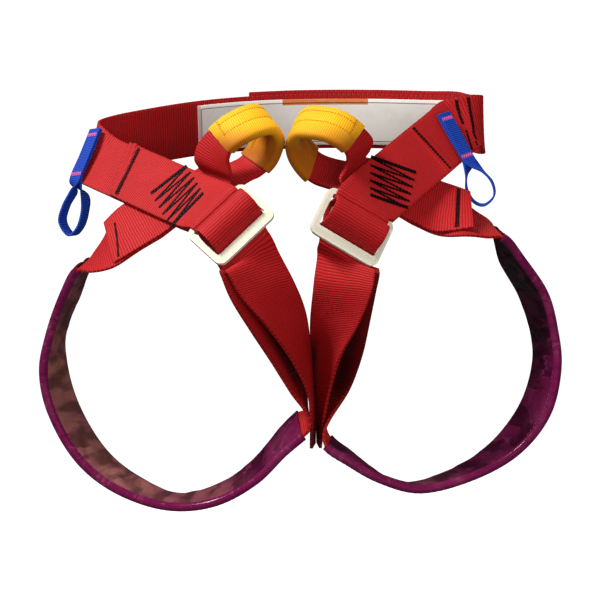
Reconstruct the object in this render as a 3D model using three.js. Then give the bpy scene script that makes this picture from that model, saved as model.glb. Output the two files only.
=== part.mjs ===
// Caving sit harness in its worn form, in millimetres, +Z up.
// The wearer faces -Y and the origin is the middle of the waist ring. Left and right are as
// seen from the front, so the left side is -X.
import * as THREE from "three";

// Webbing and tape
const WEB_WIDTH = 45;
const WEB_THICK = 2.2;
const GAP = 0.35;
const PITCH = WEB_THICK + GAP; // from one layer of webbing to the next
const HEM_THICK = 2.9; // folded end of a doubled strap
const LOOP_WIDTH = 26; // webbing folded to go round the attachment loop
const LOOP_THICK = 4;
const TAPE_WIDTH = 12;
const TAPE_THICK = 1.5;
const GEAR_STAND = 3.2; // the gear tape bridges the twist of the strap under it
const GEAR_SEWN = 21; // half of the length that is sewn to the strap
const LABEL_HEIGHT = 38;
const LABEL_THICK = 1;

// Leg loop sleeve and attachment loop sleeve
const SLEEVE_WIDTH = 51;
const SLEEVE_THICK = 6;
const SLEEVE_WALL = 1.5;
const SLEEVE_ROUND = 1.8;
const INNER_ROUND = 0.45;
const LOOP_SLEEVE_WIDTH = 31;
const LOOP_SLEEVE_THICK = 8;
const LOOP_SLEEVE_WALL = 1.4;

// Buckle
const BAR_WEB = 43; // webbing drawn in a little where it goes round the bar
const FRAME_WIDTH = 55;
const FRAME_HEIGHT = 37;
const FRAME_THICK = 3.4;
const FRAME_ARM = 4.6;
const TOP_BAR = 4;
const BOTTOM_BAR = 7.4;
const FRAME_CORNER = 6;
const FRAME_BEVEL = 0.7;
const SLIDER_DEEP = 8;
const SLIDER_THICK = 5;
const SLIDER_LENGTH = 40;
const SLIDER_ROUND = 1.6;
const BAR_AT = 39; // from the crossing to the buckle's top bar, along the front strap
const BUCKLE_DIP = 17; // degrees that the buckle dips out of the strap's plane

// Where the straps cross on each side: the place, the way the crossing faces, and the
// front view angles of the front strap towards its buckle, of the leg strap towards its
// loop and of the buckle's bars. The front strap is flat for its reach towards the hip. The
// attachment loop's width runs along one axis at its foot, one at the front and one behind.
const CROSSING = {
  left: {
    middle: [-88, -50, -47],
    faces: [-0.32, -0.78, 0.54],
    belt: -25,
    leg: 31,
    bar: 44,
    reach: 82,
    upper: 1,
    loopAxes: [[0.81, -0.456, -0.368], [0.4, -0.6, -0.69], [0.62, -0.62, -0.47]],
  },
  right: {
    middle: [65, -50, -38],
    faces: [0.46, -0.8, 0.4],
    belt: 221,
    leg: 158,
    bar: 150,
    reach: 94,
    upper: -1,
    loopAxes: [[-0.58, -0.61, -0.53], [-0.36, -0.6, -0.72], [-0.24, -0.52, -0.82]],
  },
};

// Rows of the front strap along its own line, from the crossing towards the buckle: the
// doubled end with its folded hem, then the layer under it on the way back to the hip.
const TAB_ROWS = table(["along", "rise", "thick"], [
  [-49, 0.35, HEM_THICK],
  [-44, 0.35, HEM_THICK],
  [-42, 0, WEB_THICK],
  [-20, 0, WEB_THICK],
  [10, 0, WEB_THICK],
  [24, 1.2, WEB_THICK],
]);
const BAR_TURNS = [90, 45, 0, -45, -90]; // degrees of the way round the bar
const UNDER_ROWS = [22, 0, -25, -50];
const TUCK_ROWS = [-96, -75, -58]; // the outer belt's end under the right front strap

// Rows of the leg strap along its own line: towards the loop behind the front strap, out
// from under that strap's edge, and back from the loop as the last layer.
const LEG_ROWS = table(["along", "width"], [
  [-41, WEB_WIDTH],
  [-25, WEB_WIDTH],
  [2, 40],
]);
const EMERGE = { along: 30, width: 34, skew: 0.85 };
const RETURN_ROWS = table(["along", "rise", "width", "thick"], [
  [17, -5, 28, 3.4],
  [4, 0, 38, WEB_THICK],
  [-25, 0, WEB_WIDTH, WEB_THICK],
  [-45, 0, WEB_WIDTH, WEB_THICK],
]);

// The attachment loop's webbing from its foot over the top to the back: its middle, its size
// and its axis, where 1 is the second of the crossing's axes and 1.5 is half way to the third.
const LOOP_COLUMNS = ["x", "y", "z", "width", "thick", "axis"];
const LOOP_ROWS = {
  left: table(LOOP_COLUMNS, [
    [-62.2, -57.5, -26, 33, 3, 0],
    [-61, -63, -16.1, 30, 3.4, 0.35],
    [-51, -71.9, -5.3, LOOP_WIDTH, LOOP_THICK, 1],
    [-41.7, -72.3, 0.5, LOOP_WIDTH, LOOP_THICK, 1],
    [-31.5, -67.7, 5.2, LOOP_WIDTH, LOOP_THICK, 1],
    [-24, -59.5, 6, LOOP_WIDTH, LOOP_THICK, 1.18],
    [-20.8, -51, -0.2, LOOP_WIDTH, LOOP_THICK, 1.44],
    [-23.6, -43.5, -9.2, LOOP_WIDTH, LOOP_THICK, 1.72],
    [-28.4, -38.5, -17.8, LOOP_WIDTH, LOOP_THICK, 1.94],
    [-36.4, -36.9, -25.3, LOOP_WIDTH, LOOP_THICK, 2],
    [-44.3, -39.6, -29.4, LOOP_WIDTH, LOOP_THICK, 2],
  ]),
  right: table(LOOP_COLUMNS, [
    [40.7, -59.5, -21.8, 31, 3, 0],
    [42.2, -66.5, -14.6, 30, 3.4, 0],
    [33.1, -74.7, -5.1, LOOP_WIDTH, LOOP_THICK, 1],
    [23.5, -75.5, 0.3, LOOP_WIDTH, LOOP_THICK, 1],
    [12.6, -71.1, 3, LOOP_WIDTH, LOOP_THICK, 1.02],
    [2, -63, 3.8, LOOP_WIDTH, LOOP_THICK, 1.18],
    [-2.8, -53.5, -1.5, LOOP_WIDTH, LOOP_THICK, 1.44],
    [-1.8, -45, -10, LOOP_WIDTH, LOOP_THICK, 1.72],
    [4, -38.5, -19, LOOP_WIDTH, LOOP_THICK, 1.94],
    [12, -35.5, -26, LOOP_WIDTH, LOOP_THICK, 2],
    [22, -37, -30, LOOP_WIDTH, LOOP_THICK, 2],
  ]),
};
const LOOP_SLEEVE_ROWS = { from: 1.6, to: 8.6 }; // rows of LOOP_ROWS inside the sleeve

// The belt behind each hip: its middle, and how far its upper edge leans to +X and +Y for
// each millimetre up.
const BELT_COLUMNS = ["x", "y", "z", "leanX", "leanY"];
const BELT_LEFT = table(BELT_COLUMNS, [
  [-157, 4, -13, 0.5, 0.1],
  [-157, 18, -8, 0.2, -0.1],
  [-146, 30, -3, 0.05, -0.3],
  [-131, 41, 2, 0, -0.4],
  [-83, 62, 13, 0, -0.45],
  [-40, 70, 18, 0, -0.45],
  [0, 73, 20, 0, -0.45],
  [56, 71, 20, 0, -0.45],
  [100, 63, 18, 0, -0.45],
  [121, 52, 16, 0, -0.4],
]);
const BELT_RIGHT = table(BELT_COLUMNS, [
  [131, 46, 16, -0.02, -0.35],
  [138, 33, 13, 0, -0.25],
  [139, 21, 12, -0.08, -0.15],
  [131, 13, 12, -0.38, -0.05],
]);
const LABEL_FROM = 4.05; // rows of BELT_LEFT between which the label and the overlap lie
const LABEL_TO = 8.75;
const OVERLAP_FROM = 5;
const OVERLAP_TO = 9;
const OVERLAP_RISE = 2.5; // the outer belt stands this much higher

// Bands seen nearly edge on. Each row is one cross-section: where its front edge and its
// back edge stand in the front view, and the depth of its middle. The thigh strap's loaded
// layer goes up to the buckle behind its tail, which comes down again.
const EDGE_COLUMNS = ["frontX", "frontZ", "backX", "backZ", "depth"];
const LEG_HEM = {
  left: table(EDGE_COLUMNS, [[-132, -96, -143, -66, -50]]),
  right: table(EDGE_COLUMNS, [[125, -70, 126, -42, -33]]),
};
const LEG_NECK = {
  left: table(EDGE_COLUMNS, [
    [-133, -99, -143, -76, -47],
    [-149, -102, -152, -87, -37],
  ]),
  right: table(EDGE_COLUMNS, [
    [119, -76, 127, -54, -33],
    [135, -77, 140, -62, -26],
  ]),
};
const LEG_BAND = {
  left: table(EDGE_COLUMNS, [
    [-160, -101, -156, -92, -28],
    [-171, -117, -167, -116, -16],
    [-184, -147, -181, -148, 0],
    [-190, -174, -180, -176, 6],
    [-185, -204, -171, -206, 10],
    [-165, -240, -150, -240, 12],
    [-138, -262, -125, -260, 12],
    [-100, -275, -92, -273, 10],
    [-64, -272, -56, -262, 6],
    [-33, -255, -30, -241, 0],
    [-12, -234, -14, -221, -4],
    [2.2, -222, -0.8, -208, -6],
  ]),
  right: table(EDGE_COLUMNS, [
    [147, -77, 145, -68, -20],
    [161, -92, 153, -92, -11],
    [180, -118, 169, -118, 0],
    [188, -145, 179, -146, 6],
    [191, -170, 181, -170, 9],
    [184, -205, 171, -204, 11],
    [162, -234, 146, -236, 12],
    [128, -253, 113, -256, 10],
    [88, -262, 80, -264, 6],
    [59, -254, 58, -255, 2],
    [36, -241, 38, -239, -2],
    [19.5, -229.5, 22.5, -226.5, -4],
  ]),
};
const CROTCH = {
  left: table(EDGE_COLUMNS, [
    [6.6, -217, 4.5, -206, -7],
    [5.2, -206, 5, -199, -8],
  ]),
  right: table(EDGE_COLUMNS, [
    [17.5, -222, 19.5, -220, -4],
    [21, -211, 19.5, -208, -5],
  ]),
};
const LOAD = {
  left: table(EDGE_COLUMNS, [
    [-5.9, -190, 3, -183, -16],
    [-21.2, -165, -3, -156, -32],
    [-36.6, -141, -8, -131, -52],
    [-49, -120, -12, -111, -70],
    [-55.7, -103, -19, -88, -78],
  ]),
  right: table(EDGE_COLUMNS, [
    [35.7, -187.5, 19, -182, -8],
    [44.7, -162, 17, -157, -25],
    [49.3, -138, 14, -135, -50],
    [53.2, -115, 14, -110, -70],
    [55.5, -101, 14, -88, -74],
  ]),
};
const TAIL = {
  left: table(EDGE_COLUMNS, [
    [-51, -103, -16, -87, -83],
    [-41, -120, -4.5, -109, -76],
    [-23, -141, 3.4, -130, -58],
    [-5.7, -165, 7, -155, -37],
    [5.8, -189, 9, -182, -19],
    [8, -208, 11, -206, -8],
    [8.2, -231, 11, -231, -4],
  ]),
  right: table(EDGE_COLUMNS, [
    [52.5, -101.5, 12.5, -87, -79],
    [50.4, -115, 10, -110, -76],
    [42, -138, 7.8, -135, -55],
    [29.6, -162, 8.6, -157, -27],
    [22, -187, 9.8, -182, -10],
    [17.5, -210, 12.8, -208, 0],
    [15, -231, 13.5, -231, -1],
  ]),
};
const SLEEVE_OVERLAP = 0.4; // share of a row that the straps reach into the leg sleeve
const SEAM = 0.01; // share of a row left open where one webbing is cut into two pieces

// The webbing roll over the slider, from behind the buckle: distance down from the top bar,
// out of the buckle's plane, and along the bar towards its lower end.
const ROLL = table(["down", "out", "slide"], [
  [33, -9.4, 6.5],
  [22, -8, 3],
  [12, -6.2, 0],
  [7.6, -3, 0],
  [6.6, 1.5, 0],
  [5, 6, 0],
  [6.8, 10.4, 0],
  [11, 12.8, 0],
  [16, 12.4, 0],
  [20.4, 9.8, 0],
  [23.8, 5.8, 0],
  [25.6, 1, 0],
  [26.6, -3.6, 0],
  [31, -4.4, 3.5],
  [37, -4.8, 6.5],
]);
const SLIDER_AT = { down: 15, out: 3 };

// Gear loops: the row of the strap they are sewn to, how many degrees the tape is turned on
// the strap's face towards the hip, how far it sits below the strap's middle, the way the free
// loop's width runs, and the middle line of that loop.
const GEAR = {
  left: {
    row: 0.75,
    turn: 18,
    low: 2,
    across: [0.36, 0.93, 0.1],
    drop: table(["x", "y", "z"], [
      [-160.7, -4, -44.3],
      [-161.1, -2, -56.2],
      [-164.8, -3, -68.2],
      [-170.4, -4, -73.4],
      [-177.2, -5, -63.7],
      [-174.5, -6, -51.7],
      [-168.9, -7, -41.3],
    ]),
  },
  right: {
    row: 0.39,
    turn: 17,
    low: 6,
    across: [0.16, 0.97, 0.16],
    drop: table(["x", "y", "z"], [
      [123.8, -10, -29.8],
      [124.5, -7, -40],
      [130, -8, -49],
      [136.9, -10, -51.3],
      [144, -12, -44.8],
      [142.8, -13, -35.2],
      [135.8, -13, -26.7],
    ]),
  },
};

// Finishes
const RED = { color: 0xb8222a, roughness: 0.75 };
const FINISH = {
  belt: RED,
  strap: RED,
  loopSleeve: { color: 0xf2b01e, roughness: 0.8 },
  legSleeve: { color: 0x5c1746, roughness: 0.4 },
  tape: { color: 0x1f4fb4, roughness: 0.75 },
  frame: { color: 0xeae6da, roughness: 0.4, metalness: 0.1 },
  slider: { color: 0xc4c4c4, roughness: 0.45, metalness: 0.9 },
  label: { color: 0xd8d2c6, roughness: 0.7 },
};

function table(columns, rows) {
  return rows.map((row) => Object.fromEntries(columns.map((name, i) => [name, row[i]])));
}

function vec(list) {
  return new THREE.Vector3(...list);
}

// One cross-section of a strap: its middle and the way its width runs.
function section(middle, across, width = WEB_WIDTH, thick = WEB_THICK) {
  return { middle, across: across.clone().normalize(), width, thick };
}

function beltSection(row) {
  return section(new THREE.Vector3(row.x, row.y, row.z), new THREE.Vector3(row.leanX, row.leanY, 1));
}

// The row's two edges fix the slope in the front view, and the webbing's width then fixes
// how far the front edge stands in front of the back edge.
function edgeSection(row, turn = 1) {
  const dx = row.frontX - row.backX;
  const dz = row.frontZ - row.backZ;
  const dy = Math.sqrt(Math.max(WEB_WIDTH ** 2 - dx ** 2 - dz ** 2, 0));
  const middle = new THREE.Vector3((row.frontX + row.backX) / 2, row.depth, (row.frontZ + row.backZ) / 2);
  return section(middle, new THREE.Vector3(dx, -dy, dz).multiplyScalar(turn));
}

const TINY = 1e-4; // share of a route on either side of a point, for its direction

// A smooth run of sections. A whole number asks for that section, anything between is curved.
class Route {
  constructor(sections) {
    this.sections = sections;
    this.last = sections.length - 1;
    this.path = new THREE.CatmullRomCurve3(sections.map((s) => s.middle), false, "centripetal");
    this.lean = new THREE.CatmullRomCurve3(sections.map((s) => s.across), false, "catmullrom", 0.5);
  }

  at(row) {
    const share = row / this.last;
    const before = this.path.getPoint(Math.max(share - TINY, 0));
    const after = this.path.getPoint(Math.min(share + TINY, 1));
    const along = after.sub(before).normalize();
    const across = this.lean.getPoint(share).normalize();
    const out = new THREE.Vector3().crossVectors(along, across).normalize();
    const a = this.sections[Math.min(Math.floor(row), this.last)];
    const b = this.sections[Math.min(Math.floor(row) + 1, this.last)];
    const width = THREE.MathUtils.lerp(a.width, b.width, row - Math.floor(row));
    const thick = THREE.MathUtils.lerp(a.thick, b.thick, row - Math.floor(row));
    return { middle: this.path.getPoint(share), along, across, out, width, thick };
  }

  // Frames from one row to another, at even shares of a row, so that layers keep step.
  frames(from, to, steps = 3) {
    const rows = [from];
    for (let k = Math.floor(from * steps) + 1; k < to * steps; k += 1) rows.push(k / steps);
    return [...rows, to].map((row) => this.at(row));
  }

  // The same frames moved out of the strap's face and along its width.
  layer(from, to, steps, lift, slide = 0) {
    return this.frames(from, to, steps).map((f) => ({
      ...f,
      middle: f.middle.clone().addScaledVector(f.out, lift).addScaledVector(f.across, slide),
    }));
  }
}

// Outlines of a cross-section, as pairs of offsets along its width and out of its face.
function flatOutline(frame) {
  const w = frame.width / 2;
  const t = frame.thick / 2;
  return [[-w, -t], [w, -t], [w, t], [-w, t]];
}

function boxOutline(width, thick, round = 0) {
  const w = width / 2;
  const t = thick / 2;
  if (round === 0) return [[-w, -t], [w, -t], [w, t], [-w, t]];
  return [
    [-w + round, -t], [w - round, -t], [w, -t + round], [w, t - round],
    [w - round, t], [-w + round, t], [-w, t - round], [-w, -t + round],
  ];
}

function ringPoints(frame, outline) {
  return outline.map(([a, o]) => {
    return frame.middle.clone().addScaledVector(frame.across, a).addScaledVector(frame.out, o);
  });
}

// Turns triangles between points into a closed body and makes sure that its faces point out.
function body(points, faces) {
  const geometry = new THREE.BufferGeometry();
  const places = points.flatMap((p) => p.toArray());
  geometry.setAttribute("position", new THREE.Float32BufferAttribute(places, 3));
  const volume = faces.reduce((sum, [a, b, c]) => {
    return sum + points[a].dot(new THREE.Vector3().crossVectors(points[b], points[c]));
  }, 0);
  const turned = volume < 0 ? faces.map(([a, b, c]) => [a, c, b]) : faces;
  geometry.setIndex(turned.flat());
  geometry.computeVertexNormals();
  return geometry;
}

// Adds the faces between one ring of points and the next, from a first point on.
function walls(faces, start, rings, sides, flip = false) {
  for (let r = 0; r < rings - 1; r += 1) {
    for (let s = 0; s < sides; s += 1) {
      const a = start + r * sides + s;
      const b = start + r * sides + ((s + 1) % sides);
      const c = b + sides;
      const d = a + sides;
      if (flip) faces.push([a, c, b], [a, d, c]);
      else faces.push([a, b, c], [a, c, d]);
    }
  }
}

// A strap or band: one outline swept along the frames, closed at both ends.
function ribbon(frames, outlineOf = flatOutline) {
  const rings = frames.map((f) => ringPoints(f, outlineOf(f)));
  const sides = rings[0].length;
  const points = rings.flat();
  const faces = [];
  walls(faces, 0, rings.length, sides);
  const end = points.length - sides;
  for (let s = 1; s < sides - 1; s += 1) {
    faces.push([0, s + 1, s], [end, end + s, end + s + 1]);
  }
  return body(points, faces);
}

// A sleeve: an outer and an inner outline with the same number of sides, open at both ends.
function sleeve(frames, outer, inner) {
  const outerRings = frames.map((f) => ringPoints(f, outer));
  const innerRings = frames.map((f) => ringPoints(f, inner));
  const sides = outer.length;
  const points = [...outerRings.flat(), ...innerRings.flat()];
  const inside = outerRings.length * sides;
  const faces = [];
  walls(faces, 0, frames.length, sides);
  walls(faces, inside, frames.length, sides, true);
  const far = (frames.length - 1) * sides;
  for (let s = 0; s < sides; s += 1) {
    const n = (s + 1) % sides;
    faces.push([s, inside + s, inside + n], [s, inside + n, n]);
    faces.push([far + s, far + n, inside + far + n], [far + s, inside + far + n, inside + far + s]);
  }
  return body(points, faces);
}

// The plane of a crossing, with the directions of its straps and of its buckle.
function plane(side) {
  const data = CROSSING[side];
  const out = vec(data.faces).normalize();
  const inFace = (degrees) => {
    const x = Math.cos(THREE.MathUtils.degToRad(degrees));
    const z = Math.sin(THREE.MathUtils.degToRad(degrees));
    return new THREE.Vector3(x, -(out.x * x + out.z * z) / out.y, z).normalize();
  };
  const middle = vec(data.middle);
  const belt = inFace(data.belt);
  const leg = inFace(data.leg);
  const bar = inFace(data.bar);
  const beltAcross = new THREE.Vector3().crossVectors(out, belt).multiplyScalar(data.upper);
  const legAcross = new THREE.Vector3().crossVectors(out, leg).multiplyScalar(data.upper);
  if (bar.dot(beltAcross) < 0) bar.negate();
  const overBar = new THREE.Vector3().crossVectors(bar, out).normalize();
  if (overBar.dot(belt) < 0) overBar.negate();
  const point = (direction, distance, lift) =>
    middle.clone().addScaledVector(direction, distance).addScaledVector(out, lift);
  return { out, belt, leg, bar, overBar, beltAcross, legAcross, point };
}

// The buckle's own frame: its top bar's middle, and the ways down, out and across.
function buckle(side) {
  const p = plane(side);
  const rise = WEB_THICK / 2 + GAP + TOP_BAR / 2;
  const top = p.point(p.belt, BAR_AT, rise);
  const dip = THREE.MathUtils.degToRad(BUCKLE_DIP);
  const down = p.overBar.clone().multiplyScalar(Math.cos(dip)).addScaledVector(p.out, -Math.sin(dip));
  const out = new THREE.Vector3().crossVectors(p.bar, down).normalize();
  if (out.dot(p.out) < 0) out.negate();
  const point = (d, o) => top.clone().addScaledVector(down, d).addScaledVector(out, o);
  return { top, down, out, bar: p.bar, point };
}

// The front strap from the hem of its doubled end, round the buckle's top bar and back to
// the hip. The webbing lies along the bar where it goes round it.
function frontSections(side) {
  const p = plane(side);
  const radius = TOP_BAR / 2 + GAP + WEB_THICK / 2;
  const flat = (along, lift, thick) => section(p.point(p.belt, along, lift), p.beltAcross, WEB_WIDTH, thick);
  const atBar = p.point(p.belt, BAR_AT, radius);
  const wrap = BAR_TURNS.map((degrees) => {
    const turn = THREE.MathUtils.degToRad(degrees);
    const middle = atBar.clone().addScaledVector(p.overBar, radius * Math.cos(turn));
    return section(middle.addScaledVector(p.out, radius * Math.sin(turn)), p.bar, BAR_WEB);
  });
  const under = [...UNDER_ROWS, -CROSSING[side].reach];
  return [
    ...TAB_ROWS.map((row) => flat(row.along, PITCH + row.rise, row.thick)),
    ...wrap,
    ...under.map((along) => flat(along, 0)),
  ];
}

const FRONT_ROWS = TAB_ROWS.length + BAR_TURNS.length + UNDER_ROWS.length; // row at the reach

function beltLeftRoute() {
  return new Route([...frontSections("left"), ...BELT_LEFT.map(beltSection)]);
}

function frontRightRoute() {
  return new Route(frontSections("right"));
}

// The outer belt follows the inner one along the back, then turns round the right hip and
// ends under the front strap.
function beltRightRoute() {
  const left = beltLeftRoute();
  const first = FRONT_ROWS + 1;
  const lift = beltSide(left) * (PITCH + GAP);
  const back = left.layer(first + OVERLAP_FROM, first + OVERLAP_TO, 1, lift, OVERLAP_RISE);
  const p = plane("right");
  const front = TUCK_ROWS.map((along) => section(p.point(p.belt, along, -PITCH), p.beltAcross));
  const hip = BELT_RIGHT.map(beltSection);
  return new Route([...back.map((f) => section(f.middle, f.across)), ...hip, ...front]);
}

// Tells which way the outside of the back lies: 1 if the route's faces point out there.
function beltSide(route) {
  return Math.sign(route.at(FRONT_ROWS + 1 + OVERLAP_FROM).out.y);
}

// The whole leg webbing of one side as one route: hem, up under the front strap, round the
// attachment loop, back down to the leg loop, through its sleeve, up the thigh, over the
// slider and down as the tail.
function legRoute(side) {
  const p = plane(side);
  const emerge = p.legAcross.clone().lerp(p.belt.clone().negate(), EMERGE.skew);
  const edgeOn = (row) => edgeSection(row, -1);
  const flat = (row, lift) => section(p.point(p.leg, row.along, lift), p.legAcross, row.width, row.thick);
  const list = [...LEG_HEM[side].map(edgeOn), ...LEG_ROWS.map((row) => flat(row, -PITCH))];
  list.push(section(p.point(p.leg, EMERGE.along, -PITCH), emerge, EMERGE.width));
  const marks = { loop: list.length };
  list.push(...loopSections(side));
  list.push(...RETURN_ROWS.map((row) => flat(row, row.rise - 2 * PITCH)));
  list.push(...LEG_NECK[side].map(edgeOn));
  marks.sleeve = list.length;
  list.push(...LEG_BAND[side].map(edgeOn));
  marks.sleeveEnd = list.length - 1;
  list.push(...CROTCH[side].map(edgeOn), ...LOAD[side].map(edgeOn), ...rollSections(side));
  list.push(...TAIL[side].map(edgeOn));
  return { route: new Route(list), marks };
}

function loopSections(side) {
  const axes = CROSSING[side].loopAxes.map((axis) => vec(axis).normalize());
  return LOOP_ROWS[side].map((row) => {
    const first = Math.min(Math.floor(row.axis), axes.length - 2);
    const axis = axes[first].clone().lerp(axes[first + 1], row.axis - first);
    return section(new THREE.Vector3(row.x, row.y, row.z), axis.negate(), row.width, row.thick);
  });
}

function rollSections(side) {
  const b = buckle(side);
  return ROLL.map((row) => {
    const middle = b.point(row.down, row.out).addScaledVector(b.bar, -row.slide);
    return section(middle, b.bar, BAR_WEB);
  });
}

function mesh(name, geometry, finish) {
  const made = new THREE.Mesh(geometry, new THREE.MeshStandardMaterial(finish));
  made.name = name;
  return made;
}

function label() {
  const route = beltLeftRoute();
  const first = FRONT_ROWS + 1;
  const lift = -beltSide(route) * (WEB_THICK / 2 + GAP + LABEL_THICK / 2);
  const frames = route.layer(first + LABEL_FROM, first + LABEL_TO, 3, lift);
  return ribbon(frames, () => boxOutline(LABEL_HEIGHT, LABEL_THICK));
}

function loopSleeve(side) {
  const { route, marks } = legRoute(side);
  const outer = boxOutline(LOOP_SLEEVE_WIDTH, LOOP_SLEEVE_THICK, LOOP_SLEEVE_WALL);
  const hole = boxOutline(
    LOOP_SLEEVE_WIDTH - 2 * LOOP_SLEEVE_WALL,
    LOOP_SLEEVE_THICK - 2 * LOOP_SLEEVE_WALL,
    INNER_ROUND,
  );
  const from = marks.loop + LOOP_SLEEVE_ROWS.from;
  return sleeve(route.frames(from, marks.loop + LOOP_SLEEVE_ROWS.to, 2), outer, hole);
}

function legSleeve(side) {
  const { route, marks } = legRoute(side);
  const outer = boxOutline(SLEEVE_WIDTH, SLEEVE_THICK, SLEEVE_ROUND);
  const hole = boxOutline(SLEEVE_WIDTH - 2 * SLEEVE_WALL, SLEEVE_THICK - 2 * SLEEVE_WALL, INNER_ROUND);
  return sleeve(route.frames(marks.sleeve, marks.sleeveEnd, 3), outer, hole);
}

// The gear tape: up the inside on the strap's face, round the free loop and back up outside.
function gearLoop(side) {
  const left = side === "left";
  const strap = left ? beltLeftRoute() : frontRightRoute();
  const row = left ? FRONT_ROWS + GEAR.left.row : FRONT_ROWS - GEAR.right.row;
  const frame = strap.at(row);
  const facing = frame.out.y > 0 ? -1 : 1;
  const across = vec(GEAR[side].across);
  const inner = WEB_THICK / 2 + GEAR_STAND + TAPE_THICK / 2;
  const outer = inner + TAPE_THICK + GAP;
  const turn = THREE.MathUtils.degToRad(GEAR[side].turn);
  const up = Math.cos(turn) * Math.sign(frame.across.z);
  const line = frame.across.clone().multiplyScalar(up).addScaledVector(frame.along, Math.sin(turn));
  const tapeAcross = line.clone().cross(frame.out).normalize();
  if (tapeAcross.dot(across) < 0) tapeAcross.negate();
  const onStrap = (height, lift) => {
    const middle = frame.middle.clone().addScaledVector(line, height - GEAR[side].low);
    middle.addScaledVector(frame.out, facing * lift);
    return section(middle, tapeAcross, TAPE_WIDTH, TAPE_THICK);
  };
  const drop = GEAR[side].drop.map((row) => {
    return section(new THREE.Vector3(row.x, row.y, row.z), across, TAPE_WIDTH, TAPE_THICK);
  });
  const heights = [GEAR_SEWN, 0, -GEAR_SEWN];
  const list = [
    ...heights.map((h) => onStrap(h, inner)),
    ...drop,
    ...heights.reverse().map((h) => onStrap(h, outer)),
  ];
  const route = new Route(list);
  return ribbon(route.frames(0, route.last, 3));
}

function roundedRectangle(shape, x0, y0, x1, y1, r) {
  shape.moveTo(x0 + r, y0);
  shape.lineTo(x1 - r, y0).quadraticCurveTo(x1, y0, x1, y0 + r);
  shape.lineTo(x1, y1 - r).quadraticCurveTo(x1, y1, x1 - r, y1);
  shape.lineTo(x0 + r, y1).quadraticCurveTo(x0, y1, x0, y1 - r);
  shape.lineTo(x0, y0 + r).quadraticCurveTo(x0, y0, x0 + r, y0);
  return shape;
}

// Puts a shape drawn across and up a buckle, from its top bar, into the buckle's place.
function ontoBuckle(geometry, side) {
  const b = buckle(side);
  const up = b.down.clone().negate();
  const out = new THREE.Vector3().crossVectors(b.bar, up);
  const placed = new THREE.Matrix4().makeBasis(b.bar, up, out);
  placed.setPosition(b.top);
  geometry.translate(0, 0, -FRAME_THICK / 2 + FRAME_BEVEL);
  geometry.applyMatrix4(placed);
  return geometry;
}

function buckleFrame(side) {
  const half = FRAME_WIDTH / 2 - FRAME_BEVEL;
  const top = TOP_BAR / 2 - FRAME_BEVEL;
  const shape = roundedRectangle(
    new THREE.Shape(), -half, top - FRAME_HEIGHT + 2 * FRAME_BEVEL, half, top, FRAME_CORNER,
  );
  const inside = FRAME_WIDTH / 2 - FRAME_ARM + FRAME_BEVEL;
  const hole = roundedRectangle(
    new THREE.Path(),
    -inside,
    TOP_BAR / 2 - FRAME_HEIGHT + BOTTOM_BAR - FRAME_BEVEL,
    inside,
    -TOP_BAR / 2 + FRAME_BEVEL,
    FRAME_BEVEL,
  );
  shape.holes.push(hole);
  const geometry = new THREE.ExtrudeGeometry(shape, {
    depth: FRAME_THICK - 2 * FRAME_BEVEL,
    bevelThickness: FRAME_BEVEL,
    bevelSize: FRAME_BEVEL,
    bevelSegments: 1,
    curveSegments: 5,
  });
  return ontoBuckle(geometry, side);
}

function buckleSlider(side) {
  const b = buckle(side);
  const middle = b.point(SLIDER_AT.down, SLIDER_AT.out);
  const ends = [-SLIDER_LENGTH / 2, SLIDER_LENGTH / 2].map((reach) => {
    return section(middle.clone().addScaledVector(b.bar, reach), b.down);
  });
  const outline = boxOutline(SLIDER_DEEP, SLIDER_THICK, SLIDER_ROUND);
  return ribbon(new Route(ends).frames(0, 1, 1), () => outline);
}

function harness() {
  const group = new THREE.Group();
  const beltLeft = beltLeftRoute();
  const frontRight = frontRightRoute();
  const beltRight = beltRightRoute();
  group.add(mesh("belt_left", ribbon(beltLeft.frames(0, beltLeft.last)), FINISH.belt));
  group.add(mesh("belt_right", ribbon(beltRight.frames(0, beltRight.last)), FINISH.belt));
  group.add(mesh("front_strap_right", ribbon(frontRight.frames(0, frontRight.last)), FINISH.belt));
  group.add(mesh("label", label(), FINISH.label));
  for (const side of ["left", "right"]) {
    const { route, marks } = legRoute(side);
    const legEnd = marks.sleeve + SLEEVE_OVERLAP;
    const thighStart = marks.sleeveEnd - SLEEVE_OVERLAP;
    const legStrap = ribbon(route.frames(0, legEnd));
    const legWeb = ribbon(route.frames(legEnd + SEAM, thighStart - SEAM));
    const thighStrap = ribbon(route.frames(thighStart, route.last));
    group.add(mesh(`leg_strap_${side}`, legStrap, FINISH.strap));
    group.add(mesh(`leg_web_${side}`, legWeb, FINISH.strap));
    group.add(mesh(`thigh_strap_${side}`, thighStrap, FINISH.strap));
    group.add(mesh(`loop_sleeve_${side}`, loopSleeve(side), FINISH.loopSleeve));
    group.add(mesh(`leg_sleeve_${side}`, legSleeve(side), FINISH.legSleeve));
    group.add(mesh(`buckle_frame_${side}`, buckleFrame(side), FINISH.frame));
    group.add(mesh(`buckle_slider_${side}`, buckleSlider(side), FINISH.slider));
    group.add(mesh(`gear_loop_${side}`, gearLoop(side), FINISH.tape));
  }
  return group;
}

export default harness();
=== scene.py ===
import math
from collections import namedtuple

import bpy
import numpy as np
from bpy.props import FloatProperty, FloatVectorProperty, PointerProperty
from mathutils import Color, Matrix, Vector, noise


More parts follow.
